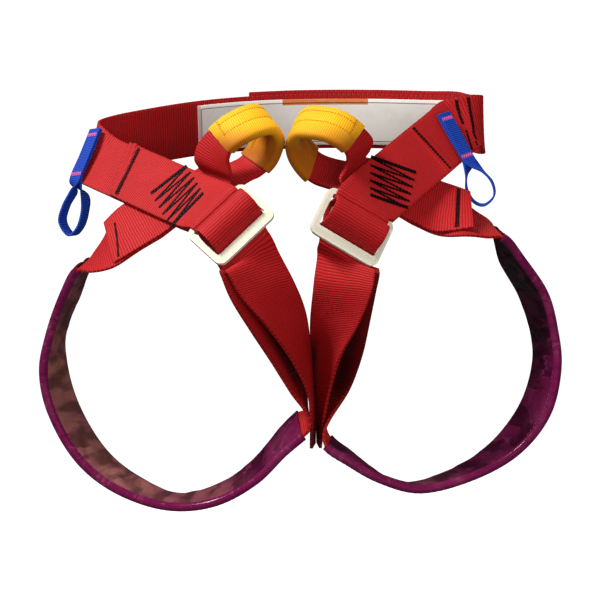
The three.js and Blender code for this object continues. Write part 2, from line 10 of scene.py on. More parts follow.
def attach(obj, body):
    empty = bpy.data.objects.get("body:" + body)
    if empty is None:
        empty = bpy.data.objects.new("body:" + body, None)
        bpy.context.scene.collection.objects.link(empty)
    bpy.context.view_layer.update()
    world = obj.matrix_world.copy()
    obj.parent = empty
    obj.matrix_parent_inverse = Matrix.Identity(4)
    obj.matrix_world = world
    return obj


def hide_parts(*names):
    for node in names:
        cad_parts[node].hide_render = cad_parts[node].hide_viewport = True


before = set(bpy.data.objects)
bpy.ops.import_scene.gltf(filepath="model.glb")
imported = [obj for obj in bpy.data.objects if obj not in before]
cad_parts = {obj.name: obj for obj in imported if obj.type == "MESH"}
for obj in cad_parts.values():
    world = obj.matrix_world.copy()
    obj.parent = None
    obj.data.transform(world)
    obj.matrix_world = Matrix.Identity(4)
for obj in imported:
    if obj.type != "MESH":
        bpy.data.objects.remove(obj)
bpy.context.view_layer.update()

bl_info = {
    "name": "Caving Harness",
    "version": (1, 0, 0),
    "blender": (4, 5, 0),
    "location": "View3D > Sidebar > Harness",
    "description": "Builds a caving harness of webbing, sleeves and buckles round its frame",
    "category": "Object",
}

MM = 0.001
SIDES = ("left", "right")

# Layers: the gap between two, a hem's thickness, and the gear tape's distance from its strap
# with half of its sewn length
GAP = 0.35 * MM
HEM_THICK = 2.9 * MM
GEAR_STAND = 3.2 * MM
GEAR_SEWN = 21 * MM
# Buckles: the webbing's width at the bars, the top bar's thickness and its distance from the
# crossing, and the degrees that the buckle dips
BAR_WEB = 43 * MM
TOP_BAR = 4 * MM
BAR_AT = 39 * MM
BUCKLE_DIP = 17

# Where the straps cross on each side: the place, the way the crossing faces, the front view
# angles of its straps and of the buckle's bars, the flat reach towards the hip, and the ways
# that the attachment loop's width runs at its foot, at the front and behind.
CROSSING = {
    "left": {
        "middle": (-88, -50, -47),
        "faces": (-0.32, -0.78, 0.54),
        "belt": -25,
        "leg": 31,
        "bar": 44,
        "reach": 82,
        "upper": 1,
        "loop_axes": ((0.81, -0.456, -0.368), (0.4, -0.6, -0.69), (0.62, -0.62, -0.47)),
    },
    "right": {
        "middle": (65, -50, -38),
        "faces": (0.46, -0.8, 0.4),
        "belt": 221,
        "leg": 158,
        "bar": 150,
        "reach": 94,
        "upper": -1,
        "loop_axes": ((-0.58, -0.61, -0.53), (-0.36, -0.6, -0.72), (-0.24, -0.52, -0.82)),
    },
}

# Rows of the front strap along its own line: along, rise, hem
TAB_ROWS = (
    (-49, 0.35, True), (-44, 0.35, True), (-42, 0, False),
    (-20, 0, False), (10, 0, False), (24, 1.2, False),
)
# Degrees of the turn round the top bar, and rows along the front strap of the layer below it
# and of the outer belt's end
BAR_TURNS = (90, 45, 0, -45, -90)
UNDER_ROWS = (22, 0, -25, -50)
TUCK_ROWS = (-96, -75, -58)
FRONT_ROWS = len(TAB_ROWS) + len(BAR_TURNS) + len(UNDER_ROWS)

# Rows of the leg strap along its own line: along and width, then where it comes out from under
# the front strap, and on its way back along, rise, width and thickness
LEG_ROWS = ((-41, 45), (-25, 45), (2, 40))
EMERGE = {"along": 30, "width": 34, "skew": 0.85}
RETURN_ROWS = ((17, -5, 28, 3.4), (4, 0, 38, 2.2), (-25, 0, 45, 2.2), (-45, 0, 45, 2.2))

# The attachment loop's webbing from its foot over the top to the back: its middle, width and
# thickness, and its axis, where 1.5 is half way from the second of the axes to the third
LOOP_ROWS = {
    "left": (
        (-62.2, -57.5, -26, 33, 3, 0),
        (-61, -63, -16.1, 30, 3.4, 0.35),
        (-51, -71.9, -5.3, 26, 4, 1),
        (-41.7, -72.3, 0.5, 26, 4, 1),
        (-31.5, -67.7, 5.2, 26, 4, 1),
        (-24, -59.5, 6, 26, 4, 1.18),
        (-20.8, -51, -0.2, 26, 4, 1.44),
        (-23.6, -43.5, -9.2, 26, 4, 1.72),
        (-28.4, -38.5, -17.8, 26, 4, 1.94),
        (-36.4, -36.9, -25.3, 26, 4, 2),
        (-44.3, -39.6, -29.4, 26, 4, 2),
    ),
    "right": (
        (40.7, -59.5, -21.8, 31, 3, 0),
        (42.2, -66.5, -14.6, 30, 3.4, 0),
        (33.1, -74.7, -5.1, 26, 4, 1),
        (23.5, -75.5, 0.3, 26, 4, 1),
        (12.6, -71.1, 3, 26, 4, 1.02),
        (2, -63, 3.8, 26, 4, 1.18),
        (-2.8, -53.5, -1.5, 26, 4, 1.44),
        (-1.8, -45, -10, 26, 4, 1.72),
        (4, -38.5, -19, 26, 4, 1.94),
        (12, -35.5, -26, 26, 4, 2),
        (22, -37, -30, 26, 4, 2),
    ),
}
LOOP_SLEEVE_ROWS = (1.6, 8.6)

# The belt behind each hip: its middle, and how far its upper edge leans to +X and +Y
BELT_LEFT = (
    (-157, 4, -13, 0.5, 0.1),
    (-157, 18, -8, 0.2, -0.1),
    (-146, 30, -3, 0.05, -0.3),
    (-131, 41, 2, 0, -0.4),
    (-83, 62, 13, 0, -0.45),
    (-40, 70, 18, 0, -0.45),
    (0, 73, 20, 0, -0.45),
    (56, 71, 20, 0, -0.45),
    (100, 63, 18, 0, -0.45),
    (121, 52, 16, 0, -0.4),
)
BELT_RIGHT = (
    (131, 46, 16, -0.02, -0.35),
    (138, 33, 13, 0, -0.25),
    (139, 21, 12, -0.08, -0.15),
    (131, 13, 12, -0.38, -0.05),
)
LABEL_ROWS = (4.05, 8.75)
OVERLAP_ROWS = (5, 9)
OVERLAP_RISE = 2.5 * MM

# Bands seen nearly edge on, one row for each cross-section: front edge x and z, back edge x
# and z, and depth of the middle
LEG_HEM = {
    "left": ((-132, -96, -143, -66, -50),),
    "right": ((125, -70, 126, -42, -33),),
}
LEG_NECK = {
    "left": ((-133, -99, -143, -76, -47), (-149, -102, -152, -87, -37)),
    "right": ((119, -76, 127, -54, -33), (135, -77, 140, -62, -26)),
}
LEG_BAND = {
    "left": (
        (-160, -101, -156, -92, -28),
        (-171, -117, -167, -116, -16),
        (-184, -147, -181, -148, 0),
        (-190, -174, -180, -176, 6),
        (-185, -204, -171, -206, 10),
        (-165, -240, -150, -240, 12),
        (-138, -262, -125, -260, 12),
        (-100, -275, -92, -273, 10),
        (-64, -272, -56, -262, 6),
        (-33, -255, -30, -241, 0),
        (-12, -234, -14, -221, -4),
        (2.2, -222, -0.8, -208, -6),
    ),
    "right": (
        (147, -77, 145, -68, -20),
        (161, -92, 153, -92, -11),
        (180, -118, 169, -118, 0),
        (188, -145, 179, -146, 6),
        (191, -170, 181, -170, 9),
        (184, -205, 171, -204, 11),
        (162, -234, 146, -236, 12),
        (128, -253, 113, -256, 10),
        (88, -262, 80, -264, 6),
        (59, -254, 58, -255, 2),
        (36, -241, 38, -239, -2),
        (19.5, -229.5, 22.5, -226.5, -4),
    ),
}
CROTCH = {
    "left": ((6.6, -217, 4.5, -206, -7), (5.2, -206, 5, -199, -8)),
    "right": ((17.5, -222, 19.5, -220, -4), (21, -211, 19.5, -208, -5)),
}
LOAD = {
    "left": (
        (-5.9, -190, 3, -183, -16),
        (-21.2, -165, -3, -156, -32),
        (-36.6, -141, -8, -131, -52),
        (-49, -120, -12, -111, -70),
        (-55.7, -103, -19, -88, -78),
    ),
    "right": (
        (35.7, -187.5, 19, -182, -8),
        (44.7, -162, 17, -157, -25),
        (49.3, -138, 14, -135, -50),
        (53.2, -115, 14, -110, -70),
        (55.5, -101, 14, -88, -74),
    ),
}
TAIL = {
    "left": (
        (-51, -103, -16, -87, -83),
        (-41, -120, -4.5, -109, -76),
        (-23, -141, 3.4, -130, -58),
        (-5.7, -165, 7, -155, -37),
        (5.8, -189, 9, -182, -19),
        (8, -208, 11, -206, -8),
        (8.2, -231, 11, -231, -4),
    ),
    "right": (
        (52.5, -101.5, 12.5, -87, -79),
        (50.4, -115, 10, -110, -76),
        (42, -138, 7.8, -135, -55),
        (29.6, -162, 8.6, -157, -27),
        (22, -187, 9.8, -182, -10),
        (17.5, -210, 12.8, -208, 0),
        (15, -231, 13.5, -231, -1),
    ),
}
# In rows: how far the straps reach into the leg sleeve, and the cut between two of them there
SLEEVE_OVERLAP = 0.4
SEAM = 0.01

# The webbing roll over the slider: down from the top bar, out of the buckle's plane, and
# along the bar towards its lower end
ROLL = (
    (33, -9.4, 6.5), (22, -8, 3), (12, -6.2, 0), (7.6, -3, 0), (6.6, 1.5, 0), (5, 6, 0), (6.8, 10.4, 0),
    (11, 12.8, 0), (16, 12.4, 0), (20.4, 9.8, 0), (23.8, 5.8, 0), (25.6, 1, 0), (26.6, -3.6, 0),
    (31, -4.4, 3.5), (37, -4.8, 6.5),
)
SLIDER_AT = (15, 3)

# Gear loops: the row of the strap, the degrees that the tape is turned on its face and how far
# it sits below the middle, the way the free loop's width runs, and the loop's line
GEAR = {
    "left": {
        "row": FRONT_ROWS + 0.75,
        "turn": 18,
        "low": 2,
        "across": (0.36, 0.93, 0.1),
        "drop": (
            (-160.7, -4, -44.3), (-161.1, -2, -56.2), (-164.8, -3, -68.2), (-170.4, -4, -73.4),
            (-177.2, -5, -63.7), (-174.5, -6, -51.7), (-168.9, -7, -41.3),
        ),
    },
    "right": {
        "row": FRONT_ROWS - 0.39,
        "turn": 17,
        "low": 6,
        "across": (0.16, 0.97, 0.16),
        "drop": (
            (123.8, -10, -29.8), (124.5, -7, -40), (130, -8, -49), (136.9, -10, -51.3),
            (144, -12, -44.8), (142.8, -13, -35.2), (135.8, -13, -26.7),
        ),
    },
}

# Cross-section of a leg sleeve from its near edge to its far edge: place across and half
# of the thickness there. The near edge is a round bead with a sewn groove beside it.
SLEEVE_PROFILE = (
    (-25.5, 0), (-25.35, 1.1), (-24.8, 2.2), (-23.8, 3), (-22.4, 3.3), (-21.1, 3.05), (-20.1, 2.5),
    (-19.4, 2.05), (-18.6, 2.35), (-17.2, 2.75), (-14.5, 2.9), (-11, 2.95), (-7, 3), (-3, 3), (1, 3),
    (5, 3), (9, 3), (13, 2.95), (17, 2.9), (20.5, 2.75), (23, 2.5), (24.6, 2), (25.3, 1.1), (25.5, 0),
)
GROOVE = -19.4 * MM
SLEEVE_WALL = 0.8 * MM

# Cross-section of an attachment loop's sleeve, with a shallow channel under each seam
LOOP_PROFILE = (
    (-15.5, 0), (-15.4, 1.4), (-14.9, 2.7), (-13.8, 3.55), (-12, 3.95), (-9, 4.1), (-6, 4.1), (-3.4, 3.95),
    (-2.4, 3.7), (-1.6, 3.45), (-0.8, 3.7), (0.4, 3.95), (3, 4.1), (6, 4), (7.6, 3.8), (8.4, 3.6), (9, 3.4),
    (9.6, 3.6), (10.6, 3.75), (12, 3.75), (13.8, 3.4), (14.9, 2.6), (15.4, 1.4), (15.5, 0),
)
# Its long seams, the reach of the short ones across it, and their distance from its ends
LOOP_SEAMS = (-1.6 * MM, 9 * MM)
LOOP_CROSS = (-3.6 * MM, 13.4 * MM)
LOOP_SEAM_END = 5 * MM
LOOP_SLEEVE_WALL = 1.2 * MM

# Tips of the zigzag seam at each crossing, along the leg strap and across it: the first and
# the last tip of either side
ZIGZAG = {
    "left": (((-15.9, 11.2), (-15.8, -27.3)), ((16.7, 16.8), (17.1, -15.9))),
    "right": (((-17.1, 14.8), (-14.8, -17.3)), ((20.2, 11.4), (16.9, -21.4))),
}
ZIGZAG_TIPS = 6
ZIGZAG_DOUBLE = (0, 1.3)

# Hem seams: along the front strap and across it, then along the leg strap and across it
TAB_SEAMS = {
    "left": (((-55.6, 20.5), (-44.2, -20.5)), ((-54.4, 20.5), (-43, -20.5))),
    "right": (((-49.6, 20.5), (-51, -20.5)), ((-48.3, 20.5), (-49.7, -20.5))),
}
LEG_SEAMS = {
    "left": (((-50.1, 12.2), (-55.9, -20.2)),),
    "right": (((-56.1, 20), (-55.6, -20.5)), ((-54.8, 20), (-54.3, -20.5))),
}
HIP_SEAMS = (((-92.5, -6), (-83.5, -20.5)), ((-92.5, -17), (-90.5, -20.5)))
# Double seams over the outer belt at the right hip: row and place across, from the upper edge
BELT_SEAMS = (
    ((8.33, 20), (8.55, 10), (8.78, 1.5), (8.88, -1)),
    ((7.78, 20.5), (7.91, 9), (8.1, -2.5), (8.81, -16)),
)
BELT_SEAM_ROWS = (0, 0.07)

# Slanted end of a front strap's tab: shift at the middle, shift for each millimetre across,
# and the length over which the slant fades
TAB_SLANT = {"left": (-9, -0.4, 34), "right": (-6, 0.03, 30)}

# Painted shade on the thigh strap's loaded layer behind the tail: at its near edge and deep behind
# the tail, the places across between which it grows, and where along the strap it starts and fades out
LOAD_SHADE = {"left": 0.12, "right": 0.65}
LOAD_SHADE_DEEP = 0.92
LOAD_SHADE_EDGE = {"left": (-18, -1), "right": (-21, -10)}
LOAD_SHADE_START = (25, 55)
LOAD_SHADE_FADE = 12
# Painted shade between the two tails: how much, the places across between which it grows, and the
# distances from the tip between which it sets in, then the same for the darkening towards the tip itself
GAP_SHADE = {"left": 0.3, "right": 0.95}
GAP_SHADE_EDGE = (6, 16)
GAP_SHADE_FROM = (110, 70)
TIP_DARK = 0.85
TIP_DARK_FROM = (34, 6)
# Painted shade on the attachment loops' sleeves low down, and the depths between which it grows
LOOP_LOW_SHADE = 0.8
LOOP_LOW_SHADE_DEPTH = (-4, 16)

Section = namedtuple("Section", "middle across width thick")
Frames = namedtuple("Frames", "middle along across out width thick length")
Plane = namedtuple("Plane", "middle out belt leg bar over_bar belt_across leg_across")
Buckle = namedtuple("Buckle", "top down out bar")

# A small part of a row or a millimetre, and the points for each row when a run is measured
TINY = 1e-3
DENSE = 40


def length_property(name, description, default):
    return FloatProperty(name=name, description=description, default=default, unit="LENGTH")


class HarnessSizes(bpy.types.PropertyGroup):
    """Sizes of the webbing, the sleeves, the buckles and the threads"""

    web_width: length_property("Webbing Width", "Width of the red webbing", 0.045)
    web_thick: length_property("Webbing Thickness", "Thickness of the red webbing", 0.0022)
    rib_pitch: length_property("Rib Pitch", "Distance from one woven rib to the next", 0.0019)
    tape_width: length_property("Tape Width", "Width of the gear loops' tape", 0.012)
    tape_thick: length_property("Tape Thickness", "Thickness of the gear loops' tape", 0.0015)
    label_height: length_property("Label Height", "Height of the label on the belt", 0.038)
    label_thick: length_property("Label Thickness", "Thickness of the label's cloth", 0.0007)
    frame_width: length_property("Frame Width", "Width of a buckle frame", 0.055)
    frame_height: length_property("Frame Height", "Height of a buckle frame", 0.037)
    frame_thick: length_property("Frame Thickness", "Thickness of a buckle frame", 0.0034)
    frame_arm: length_property("Frame Arm", "Width of a frame's side arms", 0.0046)
    frame_bar: length_property("Frame Bar", "Height of a frame's bottom bar", 0.0074)
    slider_length: length_property("Slider Length", "Length of the bar inside the roll", 0.04)
    thread: length_property("Thread", "Thickness of the heavy sewing thread", 0.0014)


def colour_property(name, description, default):
    return FloatVectorProperty(
        name=name, description=description, default=default, size=3, min=0, max=1, subtype="COLOR_GAMMA")


class HarnessColours(bpy.types.PropertyGroup):
    """Colours of the cloth, the metal, the threads and the floor"""

    webbing: colour_property("Webbing", "Red of the webbing", (0.78, 0.13, 0.14))
    # The deep colours are painted shade between ribs and yarns, and the tone of random soiling
    webbing_deep: colour_property("Webbing Deep", "Red between the webbing's ribs", (0.57, 0.065, 0.075))
    yellow: colour_property("Yellow", "Yellow of the attachment loops' sleeves", (1.0, 0.8, 0.13))
    yellow_deep: colour_property("Yellow Deep", "Yellow between the sleeve's yarns", (0.93, 0.58, 0.08))
    # Brown of the painted shade inside the yellow sleeves and low down on them
    yellow_shade: colour_property("Yellow Soiled", "Worn inside of the yellow sleeves", (0.58, 0.2, 0.06))
    purple: colour_property("Purple", "Purple of the leg loops' coated cloth", (0.42, 0.07, 0.26))
    # Also the colour of the painted highlights on the coated cloth's fold ridges
    purple_worn_and_highlight: colour_property("Purple Worn", "Coated cloth where it is rubbed", (0.6, 0.27, 0.4))
    # A browner tone for the inside of the left leg loop and low places
    purple_brown: colour_property("Purple Faded", "Faded brown of the left leg loop", (0.62, 0.39, 0.35))
    # Also the colour of the painted shade inside the leg loops
    piping: colour_property("Piping", "Dark edge of the leg loops", (0.04, 0.012, 0.02))
    blue: colour_property("Blue", "Blue of the gear loops' tape", (0.12, 0.32, 0.78))
    blue_deep: colour_property("Blue Deep", "Blue between the tape's yarns", (0.05, 0.13, 0.45))
    cream: colour_property("Cream", "Cream paint of the buckle frames", (0.91, 0.88, 0.8))
    # A duller tone for the middle of each frame face than for its rims
    cream_dull: colour_property("Cream Dull", "Rubbed middle of the buckle frames", (0.86, 0.84, 0.75))
    steel: colour_property("Steel", "Steel of the sliders", (0.76, 0.76, 0.75))
    label: colour_property("Label", "Cloth of the label", (1.0, 0.985, 0.95))
    label_band: colour_property("Label Band", "Coloured band of the label", (0.88, 0.5, 0.25))
    label_edge: colour_property("Label Edge", "Sewn ends of the label", (0.9, 0.76, 0.74))
    thread_dark: colour_property("Dark Thread", "Thread of the zigzag seams", (0.07, 0.02, 0.035))
    thread_red: colour_property("Red Thread", "Thread of the hems", (0.14, 0.02, 0.03))
    thread_yellow: colour_property("Yellow Thread", "Thread of the yellow sleeves", (0.72, 0.38, 0.05))
    thread_pink: colour_property("Pink Thread", "Thread of the bar tacks", (0.72, 0.32, 0.55))
    thread_purple: colour_property("Purple Thread", "Thread of the leg sleeves", (0.8, 0.5, 0.64))
    floor: colour_property("Floor", "Pale floor", (0.97, 0.97, 0.97))


def linear(colour):
    """A picked colour as the shader wants it."""
    return (*Color(colour[:]).from_srgb_to_scene_linear(), 1)


def unit(values):
    values = np.asarray(values, float)
    return values / np.linalg.norm(values, axis=-1, keepdims=True)


def place(values):
    """Millimetres of a table as metres."""
    return np.asarray(values, float) * MM


def smooth_step(values, start, end):
    share = np.clip((np.asarray(values, float) - start) / (end - start), 0, 1)
    return share * share * (3 - 2 * share)


def neighbours(points, rows):
    """The four points round each row of a run, and how far the row lies between the middle two."""
    run = np.vstack([2 * points[0] - points[1], points, 2 * points[-1] - points[-2]])
    first = np.clip(np.floor(rows).astype(int), 0, len(points) - 2)
    return run[first], run[first + 1], run[first + 2], run[first + 3], (rows - first)[:, None]


def cubic(start, end, leave, arrive, share):
    bend = 3 * (end - start) - 2 * leave - arrive
    turn = 2 * (start - end) + leave + arrive
    return start + leave * share + bend * share**2 + turn * share**3


class Route:
    """A smooth run of sections. A whole row is a section, and anything between is curved."""

    def __init__(self, sections):
        self.middles = np.array([s.middle for s in sections])
        self.leans = np.array([s.across for s in sections])
        self.widths = np.array([s.width for s in sections])
        self.thicks = np.array([s.thick for s in sections])
        self.last = len(sections) - 1

    def points(self, rows):
        before, here, after, beyond, share = neighbours(self.middles, rows)
        steps = (here - before, after - here, beyond - after)
        d0, d1, d2 = (np.sqrt(np.linalg.norm(s, axis=1))[:, None] for s in steps)
        leave = (steps[0] / d0 - (after - before) / (d0 + d1) + steps[1] / d1) * d1
        arrive = (steps[1] / d1 - (beyond - here) / (d1 + d2) + steps[2] / d2) * d1
        return cubic(here, after, leave, arrive, share)

    def frames(self, rows):
        rows = np.atleast_1d(np.asarray(rows, float))
        ahead = self.points(np.minimum(rows + TINY, self.last))
        along = unit(ahead - self.points(np.maximum(rows - TINY, 0)))
        before, here, after, beyond, share = neighbours(self.leans, rows)
        across = unit(cubic(here, after, (after - before) / 2, (beyond - here) / 2, share))
        numbers = np.arange(self.last + 1)
        return Frames(
            middle=self.points(rows),
            along=along,
            across=across,
            out=unit(np.cross(along, across)),
            width=np.interp(rows, numbers, self.widths),
            thick=np.interp(rows, numbers, self.thicks),
            length=np.zeros(len(rows)),
        )

    def even(self, start, stop, step):
        """Frames from one row to another at even steps along the strap."""
        rows = np.linspace(start, stop, int((stop - start) * DENSE) + 2)
        steps = np.linalg.norm(np.diff(self.points(rows), axis=0), axis=1)
        run = np.concatenate([[0], np.cumsum(steps)])
        lengths = np.linspace(0, run[-1], max(2, round(run[-1] / step) + 1))
        return self.frames(np.interp(lengths, run, rows))._replace(length=lengths)


def lifted(frames, lift, slide=0):
    """The same frames moved out of the strap's face and along its width."""
    return frames._replace(middle=frames.middle + frames.out * lift + frames.across * slide)


class Layout:
    """Where every strap, loop and buckle runs, from the sizes and the tables."""

    def __init__(self, sizes):
        self.sizes = sizes
        self.pitch = sizes.web_thick + GAP

    def section(self, middle, across, width=None, thick=None):
        return Section(middle, unit(across), width or self.sizes.web_width, thick or self.sizes.web_thick)

    def belt_section(self, row):
        return self.section(place(row[:3]), (row[3], row[4], 1))

    def edge_section(self, row):
        """A band seen edge on. Its width fixes how far its front edge stands in front."""
        front_x, front_z, back_x, back_z, depth = place(row)
        dx, dz = back_x - front_x, back_z - front_z
        dy = math.sqrt(max(self.sizes.web_width**2 - dx**2 - dz**2, 0))
        middle = np.array([(front_x + back_x) / 2, depth, (front_z + back_z) / 2])
        return self.section(middle, (dx, dy, dz))

    def plane(self, side):
        """The plane of a crossing, with the ways of its straps and of its buckle."""
        data = CROSSING[side]
        out = unit(data["faces"])

        def in_face(degrees):
            x, z = math.cos(math.radians(degrees)), math.sin(math.radians(degrees))
            return unit((x, -(out[0] * x + out[2] * z) / out[1], z))

        belt, leg, bar = (in_face(data[name]) for name in ("belt", "leg", "bar"))
        belt_across = np.cross(out, belt) * data["upper"]
        leg_across = np.cross(out, leg) * data["upper"]
        bar = bar * np.sign(bar @ belt_across)
        over_bar = unit(np.cross(bar, out))
        over_bar = over_bar * np.sign(over_bar @ belt)
        return Plane(place(data["middle"]), out, belt, leg, bar, over_bar, belt_across, leg_across)

    def buckle(self, side):
        """The buckle's own frame: its top bar's middle, and the ways down, out and across."""
        p = self.plane(side)
        top = p.middle + p.belt * BAR_AT + p.out * (self.sizes.web_thick / 2 + GAP + TOP_BAR / 2)
        dip = math.radians(BUCKLE_DIP)
        down = p.over_bar * math.cos(dip) - p.out * math.sin(dip)
        out = unit(np.cross(p.bar, down))
        return Buckle(top, down, out * np.sign(out @ p.out), p.bar)

    def front_sections(self, side):
        p = self.plane(side)
        radius = TOP_BAR / 2 + GAP + self.sizes.web_thick / 2

        def flat(along, lift, thick=None):
            return self.section(p.middle + p.belt * along * MM + p.out * lift, p.belt_across, None, thick)

        at_bar = p.middle + p.belt * BAR_AT + p.out * radius
        tab = [flat(a, self.pitch + rise * MM, HEM_THICK if hem else None) for a, rise, hem in TAB_ROWS]
        wrap = []
        for degrees in BAR_TURNS:
            turn = math.radians(degrees)
            middle = at_bar + (p.over_bar * math.cos(turn) + p.out * math.sin(turn)) * radius
            wrap.append(self.section(middle, p.bar, BAR_WEB))
        return tab + wrap + [flat(a, 0) for a in (*UNDER_ROWS, -CROSSING[side]["reach"])]

    def belt_left(self):
        return Route(self.front_sections("left") + [self.belt_section(row) for row in BELT_LEFT])

    def front_right(self):
        return Route(self.front_sections("right"))

    def front(self, side):
        """The strap that begins with a side's tab."""
        return self.belt_left() if side == "left" else self.front_right()

    def belt_outside(self):
        """1 if the inner belt's faces point out of the back, -1 if they point in."""
        return np.sign(self.belt_left().frames(FRONT_ROWS + 1 + OVERLAP_ROWS[0]).out[0, 1])

    def belt_right(self):
        first, last = (FRONT_ROWS + 1 + row for row in OVERLAP_ROWS)
        inner = self.belt_left().frames(np.arange(first, last + 1))
        back = lifted(inner, self.belt_outside() * (self.pitch + GAP), OVERLAP_RISE)
        p = self.plane("right")
        hip = [self.belt_section(row) for row in BELT_RIGHT]
        tuck = [
            self.section(p.middle + p.belt * a * MM - p.out * self.pitch, p.belt_across) for a in TUCK_ROWS
        ]
        return Route([self.section(m, a) for m, a in zip(back.middle, back.across)] + hip + tuck)

    def loop_sections(self, side):
        axes = unit(CROSSING[side]["loop_axes"])
        sections = []
        for x, y, z, width, thick, turn in LOOP_ROWS[side]:
            axis = np.array([np.interp(turn, range(len(axes)), axes[:, i]) for i in range(3)])
            sections.append(self.section(place((x, y, z)), -axis, width * MM, thick * MM))
        return sections

    def roll_sections(self, side):
        b = self.buckle(side)
        return [
            self.section(b.top + (b.down * d + b.out * o - b.bar * s) * MM, b.bar, BAR_WEB)
            for d, o, s in ROLL
        ]

    def leg(self, side):
        """One side's leg webbing from its hem to the tail's tip, with the rows of its landmarks."""
        p = self.plane(side)

        def flat(along, lift, width, thick=None):
            middle = p.middle + p.leg * along * MM + p.out * lift
            return self.section(middle, p.leg_across, width * MM, thick)

        def edge_on(table):
            return [self.edge_section(row) for row in table[side]]

        emerge = p.leg_across + (-p.belt - p.leg_across) * EMERGE["skew"]
        emerge_at = p.middle + p.leg * EMERGE["along"] * MM - p.out * self.pitch
        rows = edge_on(LEG_HEM) + [flat(a, -self.pitch, w) for a, w in LEG_ROWS]
        rows.append(self.section(emerge_at, emerge, EMERGE["width"] * MM))
        marks = {"loop": len(rows)}
        rows += self.loop_sections(side)
        rows += [flat(a, rise * MM - 2 * self.pitch, w, t * MM) for a, rise, w, t in RETURN_ROWS]
        rows += edge_on(LEG_NECK)
        marks["sleeve"] = len(rows)
        rows += edge_on(LEG_BAND)
        marks["sleeve_end"] = len(rows) - 1
        rows += edge_on(CROTCH) + edge_on(LOAD)
        marks["roll"] = len(rows)
        rows += self.roll_sections(side)
        marks["tail"] = len(rows)
        return Route(rows + edge_on(TAIL)), marks

    def gear(self, side):
        """The gear tape: up on the strap's face, round the free loop and back up outside."""
        f = self.front(side).frames(GEAR[side]["row"])
        middle, along, across, out = f.middle[0], f.along[0], f.across[0], f.out[0]
        across_tape = np.array(GEAR[side]["across"])
        facing = -np.sign(out[1])
        inner = self.sizes.web_thick / 2 + GEAR_STAND + self.sizes.tape_thick / 2
        outer = inner + self.sizes.tape_thick + GAP
        turn = math.radians(GEAR[side]["turn"])
        line = across * np.sign(across[2]) * math.cos(turn) + along * math.sin(turn)
        sewn_across = np.cross(line, out)
        sewn_across = sewn_across * np.sign(sewn_across @ across_tape)
        middle = middle - line * GEAR[side]["low"] * MM
        size = (self.sizes.tape_width, self.sizes.tape_thick)

        def on_strap(heights, lift):
            return [
                self.section(middle + line * h + out * facing * lift, sewn_across, *size) for h in heights
            ]

        drop = [self.section(place(row), across_tape, *size) for row in GEAR[side]["drop"]]
        heights = (GEAR_SEWN, 0, -GEAR_SEWN)
        return Route(on_strap(heights, inner) + drop + on_strap(heights[::-1], outer))


# Mesh helpers

STRAP_COLUMNS = 14
STRAP_STEP = 1.6 * MM
EDGE_ROUND = 0.75 * MM
EDGE_SEGMENTS = 2
WELD = 0.02 * MM
SMOOTH_ANGLE = math.radians(40)
CREASE_ANGLE = math.radians(55)


def deselect():
    bpy.ops.object.select_all(action="DESELECT")


def select_none(kind):
    """Leaves the active mesh with nothing selected, ready to be selected by its parts."""
    bpy.ops.object.mode_set(mode="EDIT")
    bpy.ops.mesh.select_mode(type=kind)
    bpy.ops.mesh.select_all(action="DESELECT")
    bpy.ops.object.mode_set(mode="OBJECT")


def name_piece(name):
    piece = bpy.context.object
    piece.name = piece.data.name = name
    return piece


def grid(name, columns, rows):
    """A new grid, with each vertex's column and row."""
    deselect()
    bpy.ops.mesh.primitive_grid_add(x_subdivisions=columns, y_subdivisions=rows, size=1)
    piece = name_piece(name)
    flat = np.empty(len(piece.data.vertices) * 3)
    piece.data.vertices.foreach_get("co", flat)
    flat = flat.reshape(-1, 3) + 0.5
    return piece, np.rint(flat[:, 0] * columns).astype(int), np.rint(flat[:, 1] * rows).astype(int)


def lay(piece, places, weave):
    """Moves the grid's vertices to their places and gives its map the lengths of the cloth."""
    piece.data.vertices.foreach_set("co", places.ravel())
    corners = np.empty(len(piece.data.loops), int)
    piece.data.loops.foreach_get("vertex_index", corners)
    layer = piece.data.uv_layers[0]
    layer.name = "weave"
    layer.uv.foreach_set("vector", weave[corners].ravel())
    piece.data.update()


def apply_modifiers(piece):
    bpy.context.view_layer.objects.active = piece
    for modifier in list(piece.modifiers):
        bpy.ops.object.modifier_apply(modifier=modifier.name)


def smooth(piece):
    deselect()
    piece.select_set(True)
    bpy.context.view_layer.objects.active = piece
    bpy.ops.object.shade_smooth_by_angle(angle=SMOOTH_ANGLE)


def round_edges(piece, width, segments):
    """Rounds the sharp edges of a piece."""
    bevel = piece.modifiers.new("round edge", "BEVEL")
    bevel.limit_method = "ANGLE"
    bevel.angle_limit = CREASE_ANGLE
    bevel.width = width
    bevel.segments = segments


def thicken(piece, thick, offset, round_edge):
    """Gives a sheet its thickness and rounds its edges."""
    solidify = piece.modifiers.new("thickness", "SOLIDIFY")
    solidify.thickness = thick
    solidify.offset = offset
    if "thick" in piece.vertex_groups:
        solidify.vertex_group = "thick"
    if round_edge:
        round_edges(piece, round_edge, EDGE_SEGMENTS)
    apply_modifiers(piece)
    smooth(piece)


def dress(piece, material, slot, *nodes):
    """Gives a finished piece its material and its place in the frame."""
    piece.data.materials.clear()
    piece.data.materials.append(material)
    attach(piece, "root")
    if nodes:
        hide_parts(*nodes)
    return piece


def mark(piece, name, values):
    """Gives each vertex a value that the piece's material reads."""
    piece.data.attributes.new(name, "FLOAT", "POINT").data.foreach_set("value", values)


def facing_in(piece, frames):
    """How far each vertex of a closed loop faces the loop's middle, from 0 to 1."""
    centre = Vector(frames.middle.mean(axis=0))
    return np.array([max(0, -v.normal.dot((v.co - centre).normalized())) for v in piece.data.vertices])


